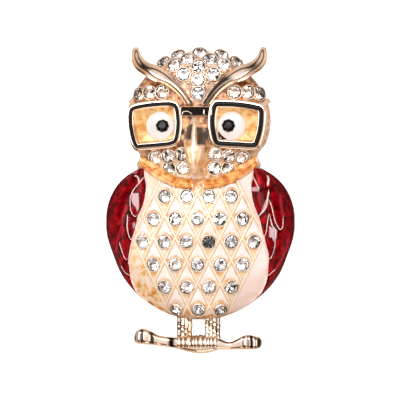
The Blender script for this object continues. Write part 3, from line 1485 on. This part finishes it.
# Enamel of a cell: its margin inside the ridges and below the apex, its lower corners above
# the stone, its room round the cup, and how far it stays inside the belly
cell_inset = 0.40
cell_top = 0.75
cell_low = 0.85
cell_arch = cup_r + 0.26
belly_margin = 0.15
cell_puff = 0.13


def cell_half(y):
    """Half the width of a cell's enamel at a height above its stone."""
    return pitch_x / 2 * (cell_rise + pitch_y - y) / pitch_y - cell_inset


def build_cell_fill(place):
    """Pillow of enamel in the top of a cell: rows from the apex down to the arch over the
    stone, and columns across; it is proud in the middle and sinks at its border."""
    r = np.linspace(0, 1, 16)[:, None]
    c = np.linspace(-1, 1, 13)[None, :]
    high = min(cell_rise + pitch_y - cell_top, float(collar_low(place[0])) - 0.02 - place[1])
    arch = np.sqrt(np.clip(cell_arch ** 2 - (c * cell_half(cell_low)) ** 2, 0, None))
    y = high + r * (np.maximum(arch, cell_low) - high)
    py = place[1] + y
    px = place[0] + c * np.maximum(cell_half(y), 0.03)
    limit = half_belly(body_s(py)) - belly_margin
    px = np.clip(px, -limit, limit)
    base = body_z(px, py)
    puff = (1 - np.abs(c) ** 3) * (1 - (2 * r - 1) ** 6)
    return sheet_part(xyz(px, py, base + 0.04 + cell_puff * puff), xyz(px, py, base - 0.1))


cell_parts = [build_cell_fill(p) for p in chest_spots if p[1] + 1.7 < float(collar_low(p[0]))]
piece("breast_fill", joined(cell_parts), pale, ["breast_enamel"], sharp=40)


# Stones and their cups

def brilliant(dia):
    """Round brilliant: a table, 8 stars, 8 kites, 16 girdle facets above, a girdle, and 16
    girdle facets and 8 mains below. Returns the points, and the crown and the back as two
    groups of faces."""
    r = dia / 2
    points = np.concatenate([facet_ring(r, 0.56, 0.36, 0.5, 8), facet_ring(r, 0.80, 0.20, 0, 8),
                             facet_ring(r, 1.0, 0.03, 0, 16), facet_ring(r, 1.0, -0.03, 0, 16),
                             facet_ring(r, 0.48, -0.46, 0.5, 8), [[0, 0, -0.86 * r]]])
    table, star, girdle, under, lower, tip = 0, 8, 16, 32, 48, 56
    i = np.arange(8)
    j, g = (i + 1) % 8, 2 * i
    k = np.arange(16)
    crown = [[star + j, table + j, table + i],
             [table + i, star + i, girdle + g + 1, star + j],
             [star + i, girdle + g, girdle + g + 1],
             [star + j, girdle + g + 1, girdle + (g + 2) % 16],
             [girdle + k, under + k, under + (k + 1) % 16, girdle + (k + 1) % 16]]
    back = [[under + g + 1, under + g, lower + i],
            [under + (g + 2) % 16, under + g + 1, lower + i],
            [under + (g + 2) % 16, lower + i, np.full(8, tip), lower + j]]
    return (points, [(table + i)[None, :], *(np.stack(f, -1) for f in crown)],
            [np.stack(f, -1) for f in back])


stone_points, stone_crown, stone_back = brilliant(stone_dia)
stone_lift = 0.26
stone_sway = 0.055

# Shades of a foil's facets, and how often the third and the fourth come up: each of the first
# two comes up as often as the stone is dim, and the last as often as is left
FACET_SHADES = [0.0, 0.35, 0.7, 0.9, 1.0]
MIDDLE_SHARE, LIGHT_SHARE = 0.10, 0.15


def stones_piece(name, spots, height, replaces, dim, behind=foil):
    """Stones at some spots, each turned and tilted a little: crowns of glass over a foil. Each
    facet has a shade by chance, and the two darkest shades have the share dim each."""
    points, crown, back, shift = [], [], [], 0
    for x, y in spots:
        normal = seat_normal(height, x, y)
        normal = unit(normal) + rng.normal(0, stone_sway, 3) * [1, 1, 0]
        base = {"points": stone_points, "faces": [], "values": {}}
        place = seated(base, spot_on(height, x, y), normal, rng.uniform(0, np.pi), stone_lift)
        points.append(place["points"])
        crown += [f + shift for f in stone_crown]
        back += [f + shift for f in stone_back]
        shift += len(stone_points)
    obj = piece(name, part(np.concatenate(points), crown + back), clear,
                replaces, sharp=0)
    obj.data.materials.append(behind)
    crown_n = sum(len(f) for f in crown)
    total = crown_n + sum(len(f) for f in back)
    index = np.zeros(total, np.int32)
    index[crown_n:] = 1
    obj.data.polygons.foreach_set("material_index", index)
    bright = 1 - MIDDLE_SHARE - LIGHT_SHARE - 2 * dim
    shade = rng.choice(FACET_SHADES, total, p=[dim, dim, MIDDLE_SHARE, LIGHT_SHARE, bright])
    layer = obj.data.attributes.new("shade", "FLOAT", "FACE")
    layer.data.foreach_set("value", shade.astype(np.float32))
    return obj


# Section of a cup from its seat over its rim to its foot: radius, height and tarnish
cup_section = [[stone_r - 0.25, 0.02, 0.9], [stone_r, 0.22, 0.9], [stone_r + 0.06, 0.29, 0.45],
               [stone_r + 0.12, 0.31, 0.0], [stone_r + 0.19, 0.27, 0.0], [cup_r, 0.17, 0.1],
               [cup_r + 0.03, 0.0, 0.3], [cup_r + 0.05, -0.35, 0.3]]
cup_sides = 28


def cups(spots, height):
    """Turned cup round every stone, with a dark seat: its rim stands a little above the
    metal."""
    section = np.array(cup_section)[::-1]
    ring = lathe(section[:, :2], n=cup_sides, dark=np.repeat(section[:, 2], cup_sides))
    return [seated(ring, spot_on(height, x, y), seat_normal(height, x, y)) for x, y in spots]


# Grains: radius, place beside the middle of two stones, and the room that each of them needs
bead_r = 0.30
bead_off = 0.95
near_stones = 3.1
bead_room = 1.12
bead_rim = 0.6


def bead(x, y, r, height):
    """Small round grain of metal, half sunk: an arc of a circle turned round Z."""
    a = np.linspace(0, np.pi * 0.62, 7)
    ball = lathe(np.column_stack([r * np.sin(a), r * np.cos(a)])[::-1], n=12)
    return shifted(ball, spot_on(height, x, y) + [0, 0, 0.05])


def crown_beads():
    """Grains of metal in the gaps between neighbouring crown stones."""
    places = np.array(crown_places)
    found = []
    for i, a in enumerate(places):
        for b in places[i + 1:]:
            gap = np.linalg.norm(b - a)
            if gap < near_stones:
                middle, across = (a + b) / 2, np.array([-(b - a)[1], (b - a)[0]]) / gap
                found += [middle + bead_off * across, middle - bead_off * across]
    free = [p for p in found
            if np.linalg.norm(places - p, axis=1).min() > bead_room
            and abs(p[0]) < head_half(np.clip((p[1] - neck_y) / head_h, 0, 1)) - bead_rim]
    return [bead(p[0], p[1], bead_r, front_z) for p in free]


all_cups = cups(chest_spots, body_z) + cups(crown_places, front_z)
for side in SIDES:
    all_cups += cups(brow_places[side], front_z) + cups(cheek_places[side], front_z)
cast_piece("stone_cups", joined(all_cups), ridge_gold)
cast_piece("crown_beads", joined(crown_beads()), polished, sharp=None)

# How often each dim shade comes up, in all chest stones but a few and in those by number
dim_chest = 0.08
dim_stones = {7: 0.03, 8: 0.16, 13: 0.27, 14: 0.18, 15: 0.14, 18: 0.03, 27: 0.04}
for n, (x, y) in enumerate(chest_spots, 1):
    stones_piece(f"chest_crystal_{n:02d}", [(x, y)], body_z, [f"chest_stone_{n:02d}"],
                 dim_stones.get(n, dim_chest))
stones_piece("crown_crystals", crown_places, front_z, ["crown_stones"], dim=0.12)
for side, label in SIDES.items():
    stones_piece(f"brow_crystals_{label}", brow_places[side], front_z, [f"brow_stones_{label}"],
                 dim=0.14, behind=warm_foil)
    stones_piece(f"cheek_crystals_{label}", cheek_places[side], front_z,
                 [f"cheek_stones_{label}"], dim=0.09, behind=warm_foil)


# Wings

# Feathers, as outlines from the root down the outer edge to the tip and back, in millimetres
feather_plan = {
    -1: [
        [[-8.8, 4.0], [-9.8, 2.9], [-10.5, 2.0], [-11.0, 1.1], [-11.25, 0.4], [-11.3, -0.6],
         [-11.2, -1.5], [-10.95, -2.3], [-10.4, -2.75], [-9.9, -2.2], [-8.6, 0.0]],
        [[-11.7, -2.4], [-11.8, -3.3], [-11.85, -4.3], [-11.7, -5.3], [-11.45, -6.1],
         [-11.15, -6.5], [-10.7, -5.6], [-9.9, -3.6], [-10.6, -3.0]],
        [[-12.7, -3.0], [-13.0, -5.0], [-13.15, -6.9], [-12.85, -7.8], [-12.6, -8.7],
         [-12.3, -9.4], [-11.95, -9.9], [-11.6, -9.6], [-11.2, -7.2], [-11.9, -5.6]],
        [[-13.6, -7.0], [-13.75, -8.6], [-13.3, -10.2], [-12.7, -11.3], [-12.0, -12.1],
         [-11.3, -12.6], [-11.3, -11.0], [-12.2, -10.2], [-12.9, -9.2]],
    ],
    1: [
        [[8.9, 4.0], [9.3, 3.2], [9.7, 2.4], [10.0, 1.7], [11.6, 1.6], [11.4, 0.5],
         [11.2, -0.6], [10.8, -1.6], [10.3, -2.2], [9.9, -2.8], [9.4, -2.0], [8.4, 0.2]],
        [[11.7, -2.2], [11.5, -3.3], [11.3, -4.3], [11.1, -5.5], [10.75, -6.2], [10.2, -5.2],
         [9.9, -3.2], [10.8, -2.3]],
        [[11.8, -2.3], [12.0, -3.4], [12.3, -4.4], [12.75, -5.0], [12.7, -6.5], [12.6, -7.8],
         [12.35, -8.8], [11.85, -9.75], [11.3, -9.2], [10.9, -7.4], [11.4, -5.0]],
        [[11.7, 0.1], [12.1, -1.0], [12.4, -2.2], [12.7, -3.4], [13.2, -4.4], [13.6, -4.9],
         [13.9, -4.3], [14.0, -2.6], [13.4, 0.6], [12.6, 2.4]],
        [[12.9, -7.0], [13.7, -6.4], [14.3, -8.2], [13.6, -10.0], [12.9, -11.2], [12.0, -12.0],
         [11.4, -12.6], [11.3, -11.0], [12.0, -9.6]],
    ],
}


def inside_of(loop, x, y):
    """Distance from each place to a closed line, positive inside it and negative outside: the
    least distance to its sides, with the sign by how many of them lie to the right."""
    a = np.asarray(loop, float)
    b = np.roll(a, -1, 0)
    best = np.full(x.shape, 9.0)
    odd = np.zeros(x.shape, bool)
    for (ax, ay), (bx, by) in zip(a, b):
        run = np.array([bx - ax, by - ay])
        k = np.clip(((x - ax) * run[0] + (y - ay) * run[1]) / (run @ run), 0, 1)
        best = np.minimum(best, np.hypot(x - ax - k * run[0], y - ay - k * run[1]))
        crosses = (ay > y) != (by > y)
        odd ^= crosses & (x < ax + (y - ay) * run[0] / (run[1] if run[1] else 1e-9))
    return np.where(odd, best, -best)


# Thin pale places of the enamel on the raised ends of feathers: outline and strength
blush_plan = {
    -1: [([[-11.05, 1.1], [-9.95, 1.15], [-9.85, 0.0], [-9.85, -1.3], [-10.1, -2.0],
           [-10.35, -1.2], [-10.8, -0.7], [-11.1, 0.0]], 0.9),
         ([[-10.95, -3.9], [-10.55, -3.6], [-10.4, -4.3], [-10.8, -4.8]], 0.6),
         ([[-11.6, 5.15], [-10.2, 5.2], [-10.4, 4.4], [-11.9, 4.5]], 0.35)],
    1: [([[8.75, 2.1], [9.9, 2.1], [10.1, 1.45], [8.9, 1.45]], 0.7),
        ([[11.1, -0.2], [11.6, 0.6], [11.5, -0.6], [10.8, -2.0], [10.3, -2.2]], 0.8),
        ([[11.75, -4.3], [12.1, -4.5], [13.0, -4.95], [12.9, -6.3], [12.5, -6.9],
          [12.2, -6.2], [11.75, -6.1]], 0.85)],
}
# Brighter streaks where the enamel is thin along the ribs of the long outer feathers
glow_plan = {
    -1: [[[-12.6, -3.2], [-13.0, -5.0], [-13.5, -6.7], [-13.75, -8.4]],
         [[-11.9, -1.0], [-12.5, -2.6], [-13.3, -4.0]]],
    1: [[[14.9, -6.6], [14.4, -8.2], [13.7, -9.9], [13.0, -11.1], [12.4, -11.7]],
        [[13.5, 0.8], [13.7, -1.0], [14.0, -2.6]]],
}
feather_loops = {side: [curve_through([*loop, loop[0]], 90)[:-1] for loop in plan]
                 for side, plan in feather_plan.items()}
feather_low, feather_rise = 0.10, 0.40


def plumage(side, x, y):
    """Lift of the wing over its plain form, and how deep the enamel lies. Each feather rises
    evenly from its root to its tip and ends in a step; the enamel pools in front of the
    step."""
    lift, pool = np.zeros(x.shape), np.zeros(x.shape)
    for loop in feather_loops[side]:
        d = inside_of(loop, x, y)
        root, tip = loop[:, 1].max(), loop[:, 1].min()
        rise = feather_low + feather_rise * np.clip((root - y) / (root - tip), 0, 1)
        lift = np.maximum(lift, rise * ease(d / 0.28 + 0.2))
        pool = np.maximum(pool, ease(1 + (d + 0.05) / 0.55) * (d < 0))
    return lift, pool


def wing_surface(side, x, y):
    """Height of a wing's enamel at a place: the plain wing and its plumage, which flattens
    towards the outline."""
    s = body_s(y)
    b = half_belly(s)
    t = np.clip((np.abs(x) - b) / (half_w(s) - b), 0, 1)
    return wing_z(s, t) + plumage(side, x, y)[0] * ease((1 - t) / 0.3)


# Enamel of a wing: its first and last share across the wing, where its foot begins to narrow,
# how far it is from the belly there, and how deep it goes
wing_from, wing_to = 0.02, 0.997
wing_narrows = 0.82
foot_from = 0.92
enamel_low = 0.42
glow_share = 0.6
streak_unit = 10.0


def wing_values(side, x, y):
    """Blush and glow of the wing's enamel: full inside the pale places, and a soft line along
    the bright streaks."""
    blush, glow = np.zeros(x.shape), np.zeros(x.shape)
    for loop, share in blush_plan[side]:
        blush = np.maximum(blush, share * ease(inside_of(loop, x, y) / 0.10 + 0.5))
    for line in glow_plan[side]:
        for px, py in curve_through(line, 40):
            far = (x - px) ** 2 + (y - py) ** 2
            glow = np.maximum(glow, glow_share * np.exp(-far / 0.05))
    return {"blush": blush, "glow": glow}


def build_wing(side):
    """Enamel of a wing: rows along the body and columns from the belly to the outline, with
    the relief of the feathers; it thins to nothing at its foot."""
    s = np.linspace(0.001, wing_foot, 190)
    q = finer_to_end(0.86, 63, 14)
    S, Q = np.meshgrid(s, q, indexing="ij")
    narrow = ease((S - wing_narrows) / (wing_foot - wing_narrows)) ** 2
    inner = wing_from + (foot_from - wing_from) * narrow
    T = inner + Q * (wing_to - inner)
    x, y = wing_x(S, T), body_y(S)
    border = ease(Q / 0.04) * ease((1.01 - Q) / 0.02)
    lift, pool = plumage(side, side * x, y)
    plain = wing_z(S, T)
    top = xyz(x, y, plain + lift * ease((1 - T) / 0.3) - 0.2 * (1 - border))
    low = xyz(x, y, plain - enamel_low)
    p = sheet_part(top, low, far=S * body_h / streak_unit, across=T,
                   edge=ease((T - 0.78) / 0.22), pool=pool, **wing_values(side, side * x, y))
    return p if side > 0 else mirrored(p)


for side, label in SIDES.items():
    piece(f"wing_fill_{label}", build_wing(side), red, [f"wing_enamel_{label}"],
          sharp=50)


# Raised lines on the wings: places, then the width
wing_lines = {
    -1: [
        ([[-8.9, 4.1], [-9.75, 2.95], [-10.45, 2.1], [-11.05, 1.15], [-11.3, 0.3],
          [-11.3, -0.7], [-11.2, -1.6], [-10.9, -2.35], [-10.45, -2.7], [-10.0, -2.35]], 0.18),
        ([[-10.75, 4.0], [-10.3, 3.95], [-9.95, 3.4], [-9.9, 2.8]], 0.22),
        ([[-11.75, -2.4], [-11.75, -3.3], [-11.8, -4.3], [-11.65, -5.3], [-11.4, -6.1],
          [-11.15, -6.5], [-10.85, -5.9]], 0.21),
        ([[-13.15, -6.9], [-12.9, -7.8], [-12.65, -8.6], [-12.35, -9.4], [-12.0, -9.85],
          [-11.75, -9.65]], 0.16),
        ([[-12.9, -10.9], [-12.5, -11.6], [-12.1, -12.1], [-11.4, -12.5]], 0.15),
    ],
    1: [
        ([[8.95, 4.0], [9.35, 3.2], [9.75, 2.4], [10.1, 1.7]], 0.18),
        ([[11.25, 4.1], [11.55, 3.6], [11.5, 2.9], [11.45, 2.3]], 0.34),
        ([[11.65, 1.7], [11.45, 0.6], [11.3, -0.5], [10.95, -1.5], [10.35, -2.15],
          [9.95, -2.7]], 0.34),
        ([[11.75, -2.2], [11.5, -3.2], [11.35, -4.3], [11.2, -5.4], [10.85, -6.1]], 0.18),
        ([[11.8, -2.3], [12.0, -3.4], [12.3, -4.4], [12.75, -4.95], [12.7, -6.5],
          [12.6, -7.8], [12.35, -8.8], [11.8, -9.7], [11.3, -9.2], [10.95, -8.1]], 0.18),
        ([[11.7, 0.1], [12.1, -1.0], [12.4, -2.2], [12.7, -3.4], [13.15, -4.4], [13.5, -4.85],
          [13.85, -4.6], [13.95, -3.6], [14.0, -2.6]], 0.18),
        ([[12.7, -11.4], [12.2, -11.9], [11.5, -12.45], [11.4, -11.6]], 0.14),
    ],
}
# Height of a raised line, its width beside the listed one and how uneven it is, and the width
# and height of the line beside the belly
line_h = 0.10
line_grow = 1.12
line_waver = 0.18
border_w, border_h = 0.26, 0.20


def wing_line(side, line, width, n=60):
    """Raised line over a few places of a wing, thinning at both ends and a little uneven."""
    x, y = curve_through(line, n).T
    s = body_s(y)
    x = np.sign(x) * np.clip(np.abs(x), half_belly(s) + 0.05, half_w(s) - 0.25)
    points = xyz(x, y, wing_surface(side, x, y))
    ends = np.linspace(0, 10, n)
    thin = np.clip(np.minimum(ends, ends[::-1]), 0.3, 1)
    thin = thin * (1 + line_waver * np.sin(np.arange(n) * 1.3))
    return swept(points, facing(body_z, x, y), round_profile(line_grow * width, line_h, -0.25),
                 scale=thin)


def border_line(side):
    """Line beside the belly on a wing."""
    s = np.linspace(0.006, wing_foot + 0.02, 130)
    x, y = side * (half_belly(s) + 0.02), body_y(s)
    return swept(xyz(x, y, body_z(x, y)), facing(body_z, x * 0.98, y),
                 round_profile(border_w, border_h, -0.3))


line_gold = enamel_finish("line_gold", (0.96, 0.56, 0.52), (1.0, 0.86, 0.82), rough=0.4,
                          wave=0.1, size=1500.0, spread=0.8, coat=1.3)
cast_piece("wing_borders", joined([border_line(side) for side in SIDES]), line_gold)
cast_piece("feather_lines", joined([wing_line(side, line, width) for side in SIDES
                                    for line, width in wing_lines[side]]), line_gold)


# Legs, toes and branch

def pod(path, radius, furrow, reach=0.78, n=16):
    """Round bar along a path, with a radius at each point; it is dark at its sides, up to the
    given reach, where a furrow parts it from its neighbours."""
    run = unit(np.gradient(path, axis=0))
    up = np.cross(unit(np.cross(run, [0, 0, 1.0])), run)
    ring = circle(n)
    return swept(path, up, ring, radius, dark=furrow * ease((reach - ring[:, 1]) / 0.28))


# Front of the legs; radius of a rib, distance to the next, depth of its notches and its sway
leg_z = 2.9
rib_r = 0.36
rib_pitch = 0.60
rib_notch = 0.16
rib_sway = 0.04
# The outer rib of a leg and the others: how far each lies below the front of the leg, how dark
# its furrows are and how far up they reach
OUTER_RIB, INNER_RIB = (0.34, 0.95, 1.06), (0.05, 0.9, 0.84)


def build_leg(mx, outer, n=46):
    """Four ribs side by side with furrows between them, notched where two waves along them
    are both high: the outer rib lies lower."""
    y = np.linspace(belly_y + 1.2, feet_y - 0.3, n)
    parts = []
    for k in (-1.5, -0.5, 0.5, 1.5):
        low, furrow, reach = OUTER_RIB if k * outer > 1 else INNER_RIB
        notch = rib_notch * np.clip(np.sin(4.2 * y + 2.1 * k + mx) * np.sin(2.3 * y + k), 0, 1)
        path = xyz(mx + k * rib_pitch + rib_sway * np.sin(3 * y + k), y,
                   leg_z + 0.25 - low - notch)
        parts.append(pod(path, np.full(n, rib_r), furrow, reach))
    return parts


# Path of a claw over the front of the branch: above the feet and above the legs
claw_path = [[0.35, -0.1], [-0.15, 0.35], [-0.95, 0.62], [-1.75, 0.45]]
claw_furrow = 0.75


def build_claw(x, r, n=26):
    """Claw bent over the front of the branch, rounded at both ends by an even power."""
    path = curve_through([[x, feet_y + y, leg_z + z] for y, z in claw_path], n)
    share = np.linspace(-1, 1, n)
    radius = r * np.sqrt(np.clip(1 - share ** 8, 0.02, 1))
    return pod(path + [0, 0, 0.25 - 0.5 * r], radius, claw_furrow)


# Claws from left to right: place and half the width
claw_plan = [[-3.45, 0.36], [-2.75, 0.33], [-1.85, 0.62], [-1.05, 0.22], [-0.58, 0.30],
             [0.15, 0.46], [0.92, 0.38], [1.45, 0.24], [1.95, 0.30], [2.60, 0.38]]

# Notches across the branch: place, width, depth and how dark they are. The arm to the right
# of the claws has a dark upper edge.
branch_dents = [[-10.85, 0.28, 0.14, 0.9], [-9.70, 0.26, 0.16, 0.9], [-8.0, 0.42, 0.15, 0.95],
                [-7.35, 0.12, 0.06, 0.4], [-6.4, 0.5, 0.04, 0.0], [-4.75, 0.55, 0.12, 1.0],
                [7.3, 0.24, 0.10, 0.7], [8.05, 0.16, 0.08, 0.7], [8.60, 0.30, 0.16, 1.0],
                [9.25, 0.18, 0.08, 0.7], [9.90, 0.36, 0.16, 1.0]]
arm_from, arm_to = 2.9, 7.0
corner_power = 0.55


def build_branch():
    """Box rings with round corners along the branch, each a circle whose sine and cosine are
    drawn out by a power. Its edges follow cubics, and notches go across its front."""
    key = np.concatenate([[-1.0], np.linspace(-0.997, 0.997, 330), [1.0]])[:, None]
    up = foot_y + along(branch_rows, BRANCH_UPPER, key) * branch_h
    down = foot_y + np.maximum(along(branch_rows, BRANCH_LOWER, key), 0.0) * branch_h
    front = along(branch_rows, BRANCH_FRONT, key) * branch_h
    x = key * branch_w / 2 - branch_x
    place, width, depth, shade = np.transpose(branch_dents)
    dent = (depth * np.exp(-((x - place) / width) ** 2)).sum(1, keepdims=True)
    notch = (shade * np.exp(-((x - place) / width) ** 4)).sum(1, keepdims=True)
    arm = ease((x - arm_from) / 0.5) * ease(arm_to - x)
    c, q = circle(60).T
    cy, cz = (np.sign(wave) * np.abs(wave) ** corner_power for wave in (c, q))
    y = (up + down) / 2 + (up - down) / 2 * cy
    z = (front + branch_back) / 2 + (front - branch_back) / 2 * cz
    z = z - dent * np.clip(q, 0, 1) ** 0.5
    on_front = (q > 0.35) & (cy > -0.75)
    edge = arm * ease((cy - 0.62) / 0.15) * (q > 0.2)
    dark = np.maximum(np.clip(notch, 0, 1) * on_front, 0.95 * edge)
    return tube_part(xyz(x, y, z)[:, ::-1], dark=dark[:, ::-1])


leg_spread = 1.02
legs = [p for side in SIDES
        for p in build_leg((side * leg_gap / 2 - branch_x / 2) * leg_spread, side)]
legs += [build_claw(x, r) for x, r in claw_plan]
cast_piece("legs", joined(legs), polished)
cast_piece("branch", build_branch(), polished)

# The pin and its catch keep their own shape
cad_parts["pin_clasp"].data.materials.clear()
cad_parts["pin_clasp"].data.materials.append(steel)


# Floor, light and camera settings

floor_half = 600.0


def build_floor():
    """Pale table: one square, evenly bright to the camera and a soft warm grey to the piece."""
    mesh = bpy.data.meshes.new("floor")
    w = floor_half * MM
    mesh.from_pydata([(-w, -w, 0), (w, -w, 0), (w, w, 0), (-w, w, 0)], [], [(0, 1, 2, 3)])
    floor = bpy.data.objects.new("floor", mesh)
    bpy.context.scene.collection.objects.link(floor)
    material, tree, shader, place = finish_of("floor_paint")
    tone = ramp(tree, uneven(tree, place, 30.0)["Mask"], [(0.0, (0.90,) * 3), (1.0, (0.93,) * 3)])
    seen = add(tree, "ShaderNodeLightPath").outputs["Is Camera Ray"]
    tone = blend_colour(tree, seen, (0.62, 0.52, 0.44), tone)
    glow = calc(tree, "MULTIPLY_ADD", seen, 0.75, 0.05)
    link(tree, shader, Base_Color=tone, Emission_Strength=glow)
    constants(shader, Roughness=0.9, Emission_Color=(1, 1, 1, 1))
    mesh.materials.append(material)


def build_world():
    """Room above a pale table: bright overhead and beyond the head of the brooch, and dark
    and warm at mid height elsewhere."""
    world = bpy.data.worlds.new("studio")
    world.use_nodes = True
    bpy.context.scene.world = world
    tree = world.node_tree
    back = tree.nodes["Background"]
    way = add(tree, "ShaderNodeSeparateXYZ",
              {"Vector": add(tree, "ShaderNodeTexCoord").outputs["Generated"]}).outputs
    ahead = calc(tree, "MULTIPLY", calc(tree, "MAXIMUM", way["Z"], 0.0), way["Y"])
    height = calc(tree, "MULTIPLY_ADD", ahead, 0.75, way["Z"])
    room = ramp(tree, height, [(0.0, (0.52, 0.42, 0.34)), (0.16, (0.40, 0.30, 0.22)),
                               (0.28, (0.08, 0.046, 0.028)), (0.50, (0.09, 0.056, 0.036)),
                               (0.62, (0.56, 0.42, 0.33)), (0.74, (0.80, 0.68, 0.60)),
                               (0.92, (0.87, 0.79, 0.74)), (1.0, (0.98, 0.91, 0.87))],
                "LINEAR")
    seen = add(tree, "ShaderNodeLightPath").outputs["Is Camera Ray"]
    tree.links.new(blend_colour(tree, seen, room, (1.0, 1.0, 1.0)), back.inputs["Color"])


lamp_far = 450.0


def softbox(name, around, down, size, radiance, tone=(1, 1, 1)):
    """Rectangular lamp: its bearing from +X, its angle down from overhead, its width and
    height in millimetres, its radiance and its colour; it faces the brooch."""
    data = bpy.data.lights.new(name, "AREA")
    data.color = tone
    data.shape = "RECTANGLE"
    data.size, data.size_y = size[0] * MM, size[1] * MM
    data.energy = radiance * math.pi * data.size * data.size_y
    lamp = bpy.data.objects.new(name, data)
    a, d = math.radians(around), math.radians(down)
    way = np.array([math.sin(d) * math.cos(a), math.sin(d) * math.sin(a), math.cos(d)])
    lamp.location = lamp_far * MM * way
    lamp.rotation_euler = (0, d, a)
    bpy.context.scene.collection.objects.link(lamp)


build_floor()
build_world()
softbox("top_box", 95, 21, (200, 310), 4.0)
softbox("left_box", 172, 46, (190, 250), 3.3)
softbox("right_box", -8, 50, (170, 230), 2.9)
softbox("low_box", -80, 52, (130, 240), 2.8, tone=(1.0, 0.84, 0.70))

scene = bpy.context.scene
scene.view_settings.view_transform = "Standard"
scene.view_settings.look = "None"
scene.cycles.use_denoising = True
